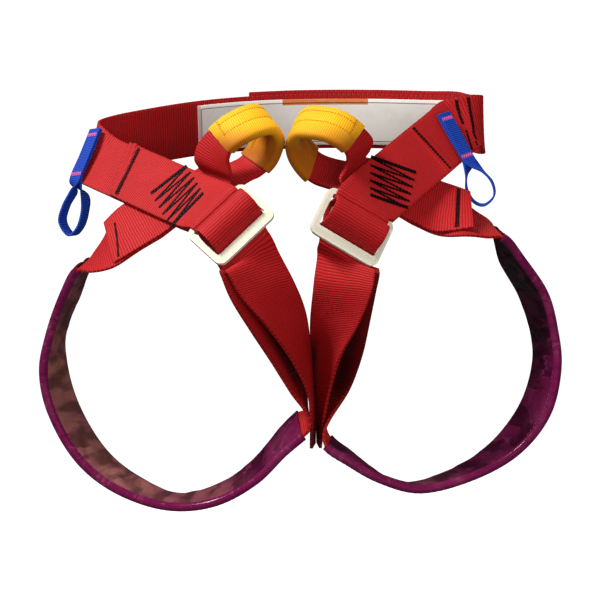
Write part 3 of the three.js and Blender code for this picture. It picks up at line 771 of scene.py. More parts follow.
def strap(name, frames, columns=STRAP_COLUMNS, round_edge=EDGE_ROUND, shift=None, painted_shade=None):
    """A strap along its frames. By length and offset, shift moves its points and painted_shade darkens them
    with painted shade.
    """
    piece, column, row = grid(name, columns, len(frames.length) - 1)
    offset = (column / columns - 0.5) * frames.width[row]
    along = shift(frames.length[row], offset) if shift else np.zeros(len(row))
    places = frames.middle[row] + frames.across[row] * offset[:, None] + frames.along[row] * along[:, None]
    lay(piece, places, np.column_stack([offset, frames.length[row] + along]))
    thickest = frames.thick.max()
    group = piece.vertex_groups.new(name="thick")
    for number, thick in enumerate(frames.thick):
        group.add(np.flatnonzero(row == number).tolist(), thick / thickest, "REPLACE")
    if painted_shade:
        mark(piece, "dirt_and_painted_shade", painted_shade(frames.length[row], offset))
    thicken(piece, thickest, 0, round_edge)
    return piece


def tube(name, frames, profile, wall, swell=None):
    """A flat tube along its frames, open at both ends. The swell moves its walls out."""
    upper = place(profile)
    lower = upper[-2:0:-1] * (1, -1)
    outline = np.vstack([upper, lower])
    count = len(outline)
    piece, column, row = grid(name, count, len(frames.length) - 1)
    turn = column % count
    across, out = outline[turn, 0], outline[turn, 1]
    if swell:
        out = out + swell(frames.length[row], across, out) * np.sign(out)
    places = frames.middle[row] + frames.across[row] * across[:, None] + frames.out[row] * out[:, None]
    closed = np.vstack([outline, outline[:1]])
    girth = np.concatenate([[0], np.cumsum(np.linalg.norm(np.diff(closed, axis=0), axis=1))])
    lay(piece, places, np.column_stack([girth[column], frames.length[row]]))
    bpy.ops.object.mode_set(mode="EDIT")
    bpy.ops.mesh.select_all(action="SELECT")
    bpy.ops.mesh.remove_doubles(threshold=WELD)
    bpy.ops.mesh.normals_make_consistent(inside=False)
    bpy.ops.object.mode_set(mode="OBJECT")
    thicken(piece, wall, -1, 0)
    return piece


# Stitches

Seam = namedtuple("Seam", "centre along out length")


def stitch_shape():
    """One stitch: a short rod with rounded ends, as its corners and faces."""
    deselect()
    bpy.ops.mesh.primitive_cylinder_add(vertices=8, radius=0.5, depth=1)
    rod = bpy.context.object
    select_none("EDGE")
    for edge in rod.data.edges:
        a, b = (rod.data.vertices[i].co.z for i in edge.vertices)
        edge.select = a == b
    bpy.ops.object.mode_set(mode="EDIT")
    bpy.ops.mesh.bevel(offset=0.3, segments=2, affect="EDGES")
    bpy.ops.object.mode_set(mode="OBJECT")
    corners = np.array([v.co for v in rod.data.vertices])
    faces = [list(p.vertices) for p in rod.data.polygons]
    mesh = rod.data
    bpy.data.objects.remove(rod)
    bpy.data.meshes.remove(mesh)
    return corners, faces


def seam(points, outs, step, fill):
    """Stitches of an even length along a line of points. Each fills that share of its step."""
    points = np.asarray(points)
    run = np.concatenate([[0], np.cumsum(np.linalg.norm(np.diff(points, axis=0), axis=1))])
    count = max(1, round(run[-1] / step))
    ends = np.linspace(0, run[-1], count + 1)

    def at(lengths, values):
        return np.column_stack([np.interp(lengths, run, values[:, i]) for i in range(3)])

    places = at(ends, points)
    steps = np.diff(places, axis=0)
    middles = (places[1:] + places[:-1]) / 2
    normals = at((ends[1:] + ends[:-1]) / 2, np.broadcast_to(outs, points.shape))
    return Seam(middles, unit(steps), unit(normals), np.linalg.norm(steps, axis=1) * fill)


def sew(name, seams, width, height, material, slot):
    """Joins copies of the stitch along some seams into one piece."""
    corners, faces = stitch_shape()
    centre, along, out = (np.vstack([getattr(s, part) for s in seams]) for part in ("centre", "along", "out"))
    length = np.concatenate([s.length for s in seams])
    aside = unit(np.cross(out, along))
    out = np.cross(along, aside)
    copies = (
        centre[:, None]
        + aside[:, None] * corners[None, :, :1] * width
        + out[:, None] * corners[None, :, 1:2] * height
        + along[:, None] * corners[None, :, 2:] * length[:, None, None]
    )
    all_faces = [[i + n * len(corners) for i in face] for n in range(len(centre)) for face in faces]
    mesh = bpy.data.meshes.new(name)
    mesh.from_pydata(copies.reshape(-1, 3), [], all_faces)
    piece = bpy.data.objects.new(name, mesh)
    bpy.context.collection.objects.link(piece)
    smooth(piece)
    return dress(piece, material, slot)


def on_strap(route, rows, across, lift):
    """Points on the face of a strap that looks to the front, and the way that it faces there."""
    frames = route.frames(rows)
    facing = -np.sign(frames.out[:, 1:2])
    across = np.broadcast_to(across, len(frames.width))[:, None]
    rise = (frames.thick / 2 + lift)[:, None]
    out = frames.out * facing
    return frames.middle + frames.across * across + out * rise, out


# Materials


class Wiring:
    """Adds nodes to a tree and joins them."""

    def __init__(self, tree):
        self.tree = tree

    def node(self, kind, inputs=None, **settings):
        made = self.tree.nodes.new(kind)
        for name, value in settings.items():
            setattr(made, name, value)
        for name, value in (inputs or {}).items():
            self.feed(made.inputs[name], value)
        return made

    def feed(self, socket, value):
        if isinstance(value, bpy.types.NodeSocket):
            self.tree.links.new(value, socket)
        else:
            socket.default_value = value

    def math(self, operation, *values, clamp=False):
        made = self.node("ShaderNodeMath", operation=operation, use_clamp=clamp)
        for socket, value in zip(made.inputs, values):
            self.feed(socket, value)
        return made.outputs[0]

    def mix(self, factor, a, b, blend="MIX"):
        made = self.node("ShaderNodeMix", data_type="RGBA", blend_type=blend)
        for number, value in ((0, factor), (6, a), (7, b)):
            self.feed(made.inputs[number], value)
        return made.outputs[2]

    def ramp(self, value, low, high, to_low=0.0, to_high=1.0):
        made = self.node("ShaderNodeMapRange", {
            "Value": value, "From Min": low, "From Max": high, "To Min": to_low, "To Max": to_high})
        return made.outputs["Result"]

    def noise(self, vector, scale, detail=2.0, roughness=0.5):
        made = self.node("ShaderNodeTexNoise", {
            "Vector": vector, "Scale": scale, "Detail": detail, "Roughness": roughness})
        return made.outputs["Fac"]


def new_group(name, inputs, outputs):
    """An empty node group with the named sockets, and its wiring."""
    tree = bpy.data.node_groups.new(name, "ShaderNodeTree")
    for socket, (kind, value) in inputs.items():
        made = tree.interface.new_socket(socket, in_out="INPUT", socket_type=kind)
        if value is not None:
            made.default_value = value
    for socket, kind in outputs.items():
        tree.interface.new_socket(socket, in_out="OUTPUT", socket_type=kind)
    wiring = Wiring(tree)
    return tree, wiring, wiring.node("NodeGroupInput").outputs, wiring.node("NodeGroupOutput").inputs


FLOAT, COLOUR, VECTOR = "NodeSocketFloat", "NodeSocketColor", "NodeSocketVector"
TURN = 2 * math.pi
# Tint of the painted shade at the webbing's selvedge
SELVEDGE_SHADE_TINT = (0.25, 0.2, 0.2, 1)
# Tint of the painted shade on one side of each fold
FOLD_SHADE_TINT = (0.4, 0.4, 0.4, 1)
# Near-black of the painted shade that a piece's attribute asks for
PAINTED_SHADE_COLOUR = (0.06, 0.015, 0.015)


def weave_group():
    """Ribs across a strap, with yarns that change places from rib to rib, fuzz and soiling, and painted shade
    between the ribs and along the selvedge.
    """
    tree, w, given, made = new_group(
        "Ribbed weave",
        {
            "Weave": (VECTOR, None),
            "Place": (VECTOR, None),
            "Colour": (COLOUR, None),
            "Deep Colour": (COLOUR, None),
            "Rib Pitch": (FLOAT, 0.0022),
            "Yarn Pitch": (FLOAT, 0.0012),
            "Soiling": (FLOAT, 0.2),
            "Selvedge": (FLOAT, 1.0),
        },
        {"Colour": COLOUR, "Height": FLOAT, "Roughness": FLOAT},
    )
    parts = w.node("ShaderNodeSeparateXYZ", {0: given["Weave"]}).outputs
    wander = w.math("MULTIPLY", w.math("SUBTRACT", w.noise(given["Place"], 90.0), 0.5), 0.9)
    rib = w.math("ADD", w.math("DIVIDE", parts["Y"], given["Rib Pitch"]), wander)
    hump = w.math("MULTIPLY_ADD", w.math("SINE", w.math("MULTIPLY", rib, TURN)), 0.5, 0.5)
    hump = w.math("POWER", hump, 0.7)
    stagger = w.math("MULTIPLY", w.math("FLOOR", w.math("ADD", rib, 0.25)), 0.5)
    yarn = w.math("ADD", w.math("DIVIDE", parts["X"], given["Yarn Pitch"]), stagger)
    bead = w.math("MULTIPLY_ADD", w.math("SINE", w.math("MULTIPLY", yarn, TURN)), 0.5, 0.5)
    height = w.math("MULTIPLY", hump, w.math("MULTIPLY_ADD", bead, 0.35, 0.65))
    fuzz = w.noise(given["Place"], 1500.0, 3.0, 0.7)
    height = w.math("ADD", height, w.math("MULTIPLY", fuzz, 0.25))
    cloud = w.noise(given["Place"], 28.0, 4.0, 0.6)
    # Painted shade: the valleys between the ribs take the deep colour
    tone = w.mix(w.ramp(height, 0.15, 0.95), given["Deep Colour"], given["Colour"])
    dirt_and_painted_shade = w.math("MULTIPLY", w.ramp(cloud, 0.4, 0.75), given["Soiling"])
    tone = w.mix(dirt_and_painted_shade, tone, given["Deep Colour"])
    # Painted shade in dashes between the ribs along the selvedge
    from_edge = w.math("SUBTRACT", given["Selvedge"], w.math("ABSOLUTE", parts["X"]))
    edge = w.ramp(from_edge, 0.0003, 0.0013, 1.0, 0.0)
    dash = w.math("SINE", w.math("MULTIPLY", parts["Y"], w.math("DIVIDE", math.pi, given["Rib Pitch"])))
    dash = w.math("MULTIPLY", edge, w.ramp(dash, -0.2, 0.4, 0.5, 0.0))
    dark = w.mix(1.0, given["Deep Colour"], SELVEDGE_SHADE_TINT, "MULTIPLY")
    w.feed(made["Colour"], w.mix(dash, tone, dark))
    w.feed(made["Height"], height)
    w.feed(made["Roughness"], w.ramp(height, 0.0, 1.2, 0.85, 0.55))
    return tree


def coating_group():
    """Coated cloth: a fine grain, slanting folds with painted shade on one side and painted highlights on
    their ridges, and rubbed patches.
    """
    tree, w, given, made = new_group(
        "Coated cloth",
        {
            "Weave": (VECTOR, None),
            "Place": (VECTOR, None),
            "Colour": (COLOUR, None),
            "Rubbed And Highlight Colour": (COLOUR, None),
            "Rubbing": (FLOAT, 0.5),
            "Fold Shade": (FLOAT, 1.0),
        },
        {"Colour": COLOUR, "Height": FLOAT, "Roughness": FLOAT},
    )
    slanted = w.node("ShaderNodeMapping", {
        "Vector": given["Weave"], "Rotation": (0, 0, 0.6), "Scale": (0.3, 1.0, 1.0)}).outputs[0]
    fold = w.noise(slanted, 75.0, 2.0, 0.45)
    facet = w.ramp(fold, 0.43, 0.57)
    # Painted highlight along the ridges of the folds
    ridge_highlight = w.ramp(w.math("ABSOLUTE", w.math("SUBTRACT", fold, 0.5)), 0.0, 0.02, 1.0, 0.0)
    ridge_highlight = w.math("MULTIPLY", ridge_highlight, w.ramp(w.noise(given["Place"], 55.0), 0.45, 0.6))
    grain = w.noise(given["Place"], 900.0, 2.0, 0.6)
    patch = w.noise(given["Place"], 36.0, 4.0, 0.65)
    second_tone = w.math("MULTIPLY", w.ramp(patch, 0.48, 0.7), given["Rubbing"])
    # The rubbed patches take the painted ridge highlights too
    second_tone = w.math("MULTIPLY_ADD", ridge_highlight, 0.45, second_tone, clamp=True)
    # Painted shade on one side of each fold
    fold_shade = w.mix(1.0, given["Colour"], FOLD_SHADE_TINT, "MULTIPLY")
    tone = w.mix(w.math("MULTIPLY", facet, given["Fold Shade"]), given["Colour"], fold_shade)
    w.feed(made["Colour"], w.mix(second_tone, tone, given["Rubbed And Highlight Colour"]))
    w.feed(made["Height"], w.math("MULTIPLY_ADD", grain, 0.08, w.math("SUBTRACT", 1.0, facet)))
    w.feed(made["Roughness"], w.ramp(second_tone, 0.0, 1.0, 0.3, 0.5))
    return tree


def speckle_group():
    """Small marks and a fine grain on a hard or sewn surface."""
    tree, w, given, made = new_group(
        "Fine marks",
        {
            "Place": (VECTOR, None),
            "Colour": (COLOUR, None),
            "Mark Colour": (COLOUR, None),
            "Grain": (FLOAT, 600.0),
            "Marks": (FLOAT, 0.4),
        },
        {"Colour": COLOUR, "Height": FLOAT, "Roughness": FLOAT},
    )
    grain = w.noise(given["Place"], given["Grain"], 3.0, 0.6)
    patch = w.noise(given["Place"], 60.0, 5.0, 0.7)
    marked = w.math("MULTIPLY", w.ramp(patch, 0.5, 0.72), given["Marks"])
    marked = w.math("MULTIPLY_ADD", w.ramp(grain, 0.5, 0.8), 0.25, marked, clamp=True)
    w.feed(made["Colour"], w.mix(marked, given["Colour"], given["Mark Colour"]))
    w.feed(made["Height"], grain)
    w.feed(made["Roughness"], w.ramp(patch, 0.3, 0.75, 0.28, 0.5))
    return tree


def group(name, build):
    """The named node group, built the first time that it is asked for."""
    return bpy.data.node_groups.get(name) or build()


def new_material(name, **constants):
    """A material with its wiring, its shader and the coordinates of its piece."""
    made = bpy.data.materials.new(name)
    made.use_nodes = True
    shader = made.node_tree.nodes["Principled BSDF"]
    for socket, value in constants.items():
        shader.inputs[socket.replace("_", " ")].default_value = value
    w = Wiring(made.node_tree)
    coordinates = {
        "Weave": w.node("ShaderNodeUVMap", uv_map="weave").outputs["UV"],
        "Place": w.node("ShaderNodeTexCoord").outputs["Object"],
    }
    return made, w, shader, coordinates


def bump(w, shader, height, strength, distance):
    node = w.node("ShaderNodeBump", {"Height": height, "Strength": strength, "Distance": distance})
    w.feed(shader.inputs["Normal"], node.outputs["Normal"])


def woven(name, colour, deep, rib, yarn, soiling, depth, selvedge=1.0, painted_shade=PAINTED_SHADE_COLOUR):
    """Woven cloth with painted shade between its ribs. Its selvedge lies that far from its middle, and its
    attribute darkens it with painted shade.
    """
    if name in bpy.data.materials:
        return bpy.data.materials[name]
    made, w, shader, at = new_material(name, Sheen_Weight=0.3, Sheen_Roughness=0.4, Specular_IOR_Level=0.25)
    shader.inputs["Sheen Tint"].default_value = linear(colour)
    cloth = w.node("ShaderNodeGroup", {
        "Weave": at["Weave"],
        "Place": at["Place"],
        "Colour": linear(colour),
        "Deep Colour": linear(deep),
        "Rib Pitch": rib,
        "Yarn Pitch": yarn,
        "Soiling": soiling,
        "Selvedge": selvedge,
    }, node_tree=group("Ribbed weave", weave_group))
    # The piece's attribute paints shade on the cloth
    dirt_and_painted_shade = w.node("ShaderNodeAttribute", attribute_name="dirt_and_painted_shade").outputs["Fac"]
    w.feed(shader.inputs["Base Color"], w.mix(dirt_and_painted_shade, cloth.outputs["Colour"], linear(painted_shade)))
    w.feed(shader.inputs["Roughness"], cloth.outputs["Roughness"])
    bump(w, shader, cloth.outputs["Height"], strength=0.7, distance=depth)
    return made


def webbing_material(context):
    c = context.scene.harness_colours
    sizes = context.scene.harness_sizes
    return woven(
        "red_webbing", c.webbing, c.webbing_deep, rib=sizes.rib_pitch, yarn=1.3 * MM, soiling=0.35,
        depth=0.35 * MM, selvedge=sizes.web_width / 2)


def fine_marks(w, shader, at, colour, mark_colour, grain, marks, strength, depth):
    """Gives a material its colour and bump with fine marks, and hands back the marks' outputs."""
    made = w.node("ShaderNodeGroup", {
        "Place": at["Place"],
        "Colour": colour,
        "Mark Colour": mark_colour,
        "Grain": grain,
        "Marks": marks,
    }, node_tree=group("Fine marks", speckle_group))
    w.feed(shader.inputs["Base Color"], made.outputs["Colour"])
    bump(w, shader, made.outputs["Height"], strength, depth)
    return made.outputs


def thread_material(name, colour):
    """Twisted sewing thread."""
    if name in bpy.data.materials:
        return bpy.data.materials[name]
    made, w, shader, at = new_material(name, Specular_IOR_Level=0.15, Roughness=0.6)
    bright = [min(1, v * 1.4) for v in colour]
    fine_marks(
        w, shader, at, linear(colour), linear(bright), grain=2200.0, marks=0.3, strength=0.5, depth=0.3 * MM)
    return made


# Operators


class HARNESS_OT_belts(bpy.types.Operator):
    """Lays the two belts and the right front strap"""

    bl_idname = "harness.belts"
    bl_label = "Belts"

    def slanted(self, side):
        """The move along the strap that gives the end of a tab its slant."""
        shift, slope, fade = TAB_SLANT[side]

        def move(length, offset):
            away = 1 - smooth_step(length, 0, fade * MM)
            return (shift * MM + slope * offset) * away

        return move

    def execute(self, context):
        layout = Layout(context.scene.harness_sizes)
        cloth = webbing_material(context)
        for name, node, route, shift in (
            ("belt_left_webbing", "belt_left", layout.belt_left(), self.slanted("left")),
            ("belt_right_webbing", "belt_right", layout.belt_right(), None),
            ("front_strap_webbing", "front_strap_right", layout.front_right(), self.slanted("right")),
        ):
            piece = strap(name, route.even(0, route.last, STRAP_STEP), shift=shift)
            dress(piece, cloth, "webbing_red", node)
        return {"FINISHED"}


class HARNESS_OT_leg_straps(bpy.types.Operator):
    """Lays each side's leg webbing, from the hem over the loop to the tail"""

    bl_idname = "harness.leg_straps"
    bl_label = "Leg Straps"

    def execute(self, context):
        layout = Layout(context.scene.harness_sizes)
        cloth = webbing_material(context)
        for side in SIDES:
            route, marks = layout.leg(side)
            leg_end = marks["sleeve"] + SLEEVE_OVERLAP
            thigh_start = marks["sleeve_end"] - SLEEVE_OVERLAP
            up = route.even(thigh_start, marks["roll"], STRAP_STEP).length[-1]
            down = route.even(thigh_start, route.last, STRAP_STEP).length[-1]

            def painted_shade(length, offset):
                """Painted shade between the layers of the thigh strap and between the tails, and darker
                towards the tips.
                """
                deep = smooth_step(offset, *place(LOAD_SHADE_EDGE[side]))
                between = LOAD_SHADE[side] + (LOAD_SHADE_DEEP - LOAD_SHADE[side]) * deep
                fading = smooth_step(length, up - LOAD_SHADE_FADE * MM, up)
                loaded = smooth_step(length, *place(LOAD_SHADE_START)) * (1 - fading)
                tip = TIP_DARK * smooth_step(length, *(down - place(TIP_DARK_FROM)))
                gap = GAP_SHADE[side] * smooth_step(offset, *place(GAP_SHADE_EDGE))
                gap = gap * smooth_step(length, *(down - place(GAP_SHADE_FROM)))
                return np.maximum(between * loaded, np.maximum(tip, gap))

            for name, start, end, dark in (
                ("leg_strap", 0, leg_end, None),
                ("leg_web", leg_end + SEAM, thigh_start - SEAM, None),
                ("thigh_strap", thigh_start, route.last, painted_shade),
            ):
                piece = strap(f"{name}_webbing_{side}", route.even(start, end, STRAP_STEP), painted_shade=dark)
                dress(piece, cloth, "webbing_red", f"{name}_{side}")
        return {"FINISHED"}


class HARNESS_OT_loop_sleeves(bpy.types.Operator):
    """Draws the yellow sleeves over the attachment loops"""

    bl_idname = "harness.loop_sleeves"
    bl_label = "Loop Sleeves"

    STEP = 1.5 * MM

    def execute(self, context):
        layout = Layout(context.scene.harness_sizes)
        c = context.scene.harness_colours
        cloth = woven(
            "yellow_sleeve", c.yellow, c.yellow_deep, rib=1.4 * MM, yarn=1 * MM, soiling=0.2,
            depth=0.12 * MM, painted_shade=c.yellow_shade)
        for side in SIDES:
            route, marks = layout.leg(side)
            frames = route.even(*(marks["loop"] + row for row in LOOP_SLEEVE_ROWS), self.STEP)
            piece = tube(f"loop_sleeve_cloth_{side}", frames, LOOP_PROFILE, LOOP_SLEEVE_WALL)
            # Painted shade on the inside of each loop and low down on it
            depths = [-v.co.z for v in piece.data.vertices]
            low = LOOP_LOW_SHADE * smooth_step(depths, *place(LOOP_LOW_SHADE_DEPTH))
            mark(piece, "dirt_and_painted_shade", np.maximum(facing_in(piece, frames), low))
            dress(piece, cloth, "tape_yellow", f"loop_sleeve_{side}")
        return {"FINISHED"}


def sleeve_girth():
    """The way once round a leg sleeve's cross-section."""
    return 2 * np.linalg.norm(np.diff(place(SLEEVE_PROFILE), axis=0), axis=1).sum()


class HARNESS_OT_leg_sleeves(bpy.types.Operator):
    """Draws the padded sleeves of coated cloth over the leg loops"""

    bl_idname = "harness.leg_sleeves"
    bl_label = "Leg Sleeves"

    STEP = 2.1 * MM
    # How far a wall faces the loop's middle where the tones of the inside begin and are full
    FACING = (0.05, 0.3)
    # Round the cross-section: where the panel begins behind the bead, and the dark far edge
    PANEL = (7 * MM, 9 * MM)
    FAR_EDGE = (4.5 * MM, 3 * MM)
    # The coat on the bead and on the panel
    COAT = (0.5, 0.12)
    # Where the inside turns browner, towards the left and low down
    BROWN_X = (-0.12, -0.06)
    BROWN_Z = (-0.25, -0.265)
    BROWN_LOW = 0.5
    # Painted shade: the heights between which the right loop's inside darkens, by how much, and how
    # dark every inside is
    SHADED_Z = (-0.19, -0.12)
    SHADED = 0.6
    SHADED_ALL = 0.1
    # Puckers along the groove: their pitch, spread and height in millimetres
    PUCKER_PITCH = 4.2 * MM
    PUCKER_SPREAD = 3 * MM
    PUCKER = 0.25
    # Folds of the panel: its two sides, the folds' sizes along, slanting and across, their
    # height in millimetres, the power that sharpens them, and how far they sink
    FOLDS_NEAR = (GROOVE, GROOVE + 6 * MM)
    FOLDS_FAR = (19 * MM, 25 * MM)
    FOLD_SIZE = (13 * MM, 18 * MM, 40 * MM)
    FOLD_SEED = 3.7
    FOLD = 2.4
    FOLD_POWER = 0.7
    FOLD_SINK = 0.7

    def coated_cloth(self, context):
        c = context.scene.harness_colours
        made, w, shader, at = new_material(
            "purple_coated_cloth", Specular_IOR_Level=0.08, Coat_Roughness=0.14)
        girth = sleeve_girth()
        across = w.node("ShaderNodeSeparateXYZ", {0: at["Weave"]}).outputs["X"]
        across = w.math("MINIMUM", across, w.math("SUBTRACT", girth, across))
        panel = w.ramp(across, *self.PANEL)
        inside = w.node("ShaderNodeAttribute", attribute_name="inside").outputs["Fac"]
        inside = w.math("MULTIPLY", panel, inside)
        spot = w.node("ShaderNodeSeparateXYZ", {0: at["Place"]}).outputs
        patch = w.ramp(w.noise(at["Place"], 30.0, 3.0), 0.3, 0.55, 0.45, 1.0)
        # The inside turns browner towards the left and low down
        aside = w.ramp(spot["X"], *self.BROWN_X, 1.0, 0.0)
        browner = w.math("MAXIMUM", aside, w.ramp(spot["Z"], *self.BROWN_Z, 0.0, self.BROWN_LOW))
        browner = w.math("MULTIPLY", browner, patch)
        tone = w.mix(w.math("MULTIPLY", inside, browner), linear(c.purple), linear(c.purple_brown))
        # Painted shade inside the loops, in the piping's colour
        on_right = w.math("GREATER_THAN", spot["X"], 0.0)
        shaded = w.math("MULTIPLY", on_right, w.ramp(spot["Z"], *self.SHADED_Z))
        shaded = w.math("MULTIPLY_ADD", shaded, self.SHADED, self.SHADED_ALL)
        shaded = w.math("MULTIPLY", inside, shaded)
        edge = w.ramp(across, *(girth / 2 - before for before in self.FAR_EDGE))
        tone = w.mix(w.math("MAXIMUM", shaded, edge), tone, linear(c.piping))
        cloth = w.node("ShaderNodeGroup", {
            "Weave": at["Weave"],
            "Place": at["Place"],
            "Colour": tone,
            "Rubbed And Highlight Colour": linear(c.purple_worn_and_highlight),
            "Rubbing": 0.25,
            "Fold Shade": panel,
        }, node_tree=group("Coated cloth", coating_group))
        w.feed(shader.inputs["Base Color"], cloth.outputs["Colour"])
        w.feed(shader.inputs["Roughness"], cloth.outputs["Roughness"])
        w.feed(shader.inputs["Coat Weight"], w.ramp(panel, 0.0, 1.0, *self.COAT))
        bump(w, shader, cloth.outputs["Height"], strength=0.8, distance=0.9 * MM)
        return made

    def wrinkles(self, length, across, out):
        """Puckers along the groove, and folds across the panel beside it."""
        panel = smooth_step(across, *self.FOLDS_NEAR) * (1 - smooth_step(across, *self.FOLDS_FAR))
        pucker = np.exp(-((across - GROOVE) / self.PUCKER_SPREAD) ** 2)
        pucker = pucker * np.sin(TURN * length / self.PUCKER_PITCH)
        on, slant, wide = self.FOLD_SIZE
        folds = np.array([
            noise.noise(Vector((far / on + aside / slant, aside / wide, math.copysign(self.FOLD_SEED, rise))))
            for far, aside, rise in zip(length, across, out)
        ])
        folds = self.FOLD * np.abs(folds) ** self.FOLD_POWER - self.FOLD_SINK
        return (self.PUCKER * pucker + folds * panel) * MM

    def execute(self, context):
        layout = Layout(context.scene.harness_sizes)
        cloth = self.coated_cloth(context)
        for side in SIDES:
            route, marks = layout.leg(side)
            frames = route.even(marks["sleeve"], marks["sleeve_end"], self.STEP)
            piece = tube(f"leg_sleeve_cloth_{side}", frames, SLEEVE_PROFILE, SLEEVE_WALL, self.wrinkles)
            mark(piece, "inside", smooth_step(facing_in(piece, frames), *self.FACING))
            dress(piece, cloth, "coated_purple", f"leg_sleeve_{side}")
        return {"FINISHED"}


class HARNESS_OT_buckles(bpy.types.Operator):
    """Forges the buckle frames and the bars inside the rolls"""

    bl_idname = "harness.buckles"
    bl_label = "Buckles"

    CORNER = 6 * MM
    CORNER_SEGMENTS = 7
    INNER_CORNER = 1.6 * MM
    SOFT_EDGE = 1.1 * MM
    SEGMENTS = 4
    # Distances from an edge between which the paint turns to its dull middle
    RIM = (1.3 * MM, 1.9 * MM)
    # The slider's cross-section and the rounding of its edges
    ROD = (8 * MM, 5 * MM)
    ROD_ROUND = 1.6 * MM
    NEAR = 0.1 * MM

    def select_faces(self, piece):
        """Selects the front and the back of the plate."""
        select_none("FACE")
        for face in piece.data.polygons:
            face.select = abs(face.normal.z) > 0.5
        bpy.ops.object.mode_set(mode="EDIT")

    def select_edges(self, piece, test):
        """Selects the edges that run through the plate and whose place passes the test."""
        select_none("EDGE")
        for edge in piece.data.edges:
            a, b = (piece.data.vertices[i].co for i in edge.vertices)
            through = abs(a.z - b.z) > MM and abs(a.x - b.x) < TINY * MM and abs(a.y - b.y) < TINY * MM
            edge.select = through and test(a)
        bpy.ops.object.mode_set(mode="EDIT")

    def plate(self, sizes, name):
        """The flat frame with its middle at its top bar: x along the bar, y up, z out."""
        top = TOP_BAR / 2
        middle = top - sizes.frame_height / 2
        deselect()
        bpy.ops.mesh.primitive_cube_add(size=1, location=(0, middle, 0))
        piece = name_piece(name)
        piece.scale = (sizes.frame_width, sizes.frame_height, sizes.frame_thick)
        bpy.ops.object.transform_apply(location=True, rotation=True, scale=True)
        self.select_faces(piece)
        bpy.ops.mesh.inset(thickness=sizes.frame_arm, use_boundary=True)
        bpy.ops.object.mode_set(mode="OBJECT")
        inner_x = sizes.frame_width / 2 - sizes.frame_arm
        for vertex in piece.data.vertices:
            if abs(abs(vertex.co.x) - inner_x) < self.NEAR:
                vertex.co.y = -top if vertex.co.y > middle else top - sizes.frame_height + sizes.frame_bar
        bpy.ops.object.mode_set(mode="EDIT")
        bpy.ops.mesh.bridge_edge_loops()
        self.select_edges(piece, lambda v: abs(v.x) > inner_x + MM)
        bpy.ops.mesh.bevel(offset=self.CORNER, segments=self.CORNER_SEGMENTS, affect="EDGES")
        self.select_edges(piece, lambda v: abs(abs(v.x) - inner_x) < self.NEAR)
        bpy.ops.mesh.bevel(offset=self.INNER_CORNER, segments=self.SEGMENTS, affect="EDGES")
        bpy.ops.mesh.select_all(action="SELECT")
        bpy.ops.mesh.normals_make_consistent(inside=False)
        bpy.ops.object.mode_set(mode="OBJECT")
        round_edges(piece, self.SOFT_EDGE, self.SEGMENTS)
        apply_modifiers(piece)
        places = np.array([v.co for v in piece.data.vertices])
        lay(piece, places, places[:, :2])
        return piece

    def rod(self, sizes, name):
        """The bar inside the roll, with its middle at the origin: x along, y down, z out."""
        deselect()
        bpy.ops.mesh.primitive_cube_add(size=1)
        piece = name_piece(name)
        piece.scale = (sizes.slider_length, *self.ROD)
        bpy.ops.object.transform_apply(location=True, rotation=True, scale=True)
        round_edges(piece, self.ROD_ROUND, self.SEGMENTS)
        apply_modifiers(piece)
        return piece

    def settle(self, piece, x, y, z, at):
        """Turns a finished piece to its own ways and sets it in its place."""
        matrix = Matrix((Vector(x), Vector(y), Vector(z))).transposed().to_4x4()
        matrix.translation = Vector(at)
        piece.data.transform(matrix)
        if matrix.determinant() < 0:
            piece.data.flip_normals()
        smooth(piece)

    def painted(self, context):
        c = context.scene.harness_colours
        sizes = context.scene.harness_sizes
        made, w, shader, at = new_material(
            "cream_paint", Specular_IOR_Level=0.3, Coat_Weight=0.05, Coat_Roughness=0.3)
        parts = w.node("ShaderNodeSeparateXYZ", {0: at["Weave"]}).outputs
        aside, up = w.math("ABSOLUTE", parts["X"]), parts["Y"]
        side, opening = sizes.frame_width / 2, sizes.frame_width / 2 - sizes.frame_arm
        top, bottom = TOP_BAR / 2, TOP_BAR / 2 - sizes.frame_height
        from_ends = w.math("MINIMUM", w.math("SUBTRACT", top, up), w.math("SUBTRACT", up, bottom))
        from_outside = w.math("MINIMUM", w.math("SUBTRACT", side, aside), from_ends)
        from_bar = w.math("SUBTRACT", bottom + sizes.frame_bar, up)
        from_bars = w.math("MAXIMUM", w.math("ADD", up, top), from_bar)
        from_opening = w.math("MAXIMUM", w.math("SUBTRACT", aside, opening), from_bars)
        # The middle of each face turns a duller tone than its rims
        second_tone = w.ramp(w.math("MINIMUM", from_outside, from_opening), *self.RIM)
        paint = w.mix(second_tone, linear(c.cream), linear(c.cream_dull))
        marks = fine_marks(
            w, shader, at, paint, linear(c.cream_dull),
            grain=500.0, marks=0.55, strength=0.15, depth=0.1 * MM)
        w.feed(shader.inputs["Roughness"], marks["Roughness"])
        return made

    def steel(self, context):
        c = context.scene.harness_colours
        made, w, shader, at = new_material("satin_steel", Metallic=1.0)
        dark = [v * 0.7 for v in c.steel]
        marks = fine_marks(
            w, shader, at, linear(c.steel), linear(dark),
            grain=1200.0, marks=0.5, strength=0.2, depth=0.1 * MM)
        w.feed(shader.inputs["Roughness"], marks["Roughness"])
        return made

    def execute(self, context):
        sizes = context.scene.harness_sizes
        layout = Layout(sizes)
        paint, steel = self.painted(context), self.steel(context)
        for side in SIDES:
            b = layout.buckle(side)
            plate = self.plate(sizes, f"buckle_frame_plate_{side}")
            self.settle(plate, b.bar, -b.down, np.cross(b.bar, -b.down), b.top)
            dress(plate, paint, "frame_cream", f"buckle_frame_{side}")
            rod = self.rod(sizes, f"buckle_slider_bar_{side}")
            middle = b.top + b.down * SLIDER_AT[0] * MM + b.out * SLIDER_AT[1] * MM
            self.settle(rod, b.bar, b.down, np.cross(b.bar, b.down), middle)
            dress(rod, steel, "slider_steel", f"buckle_slider_{side}")
        return {"FINISHED"}


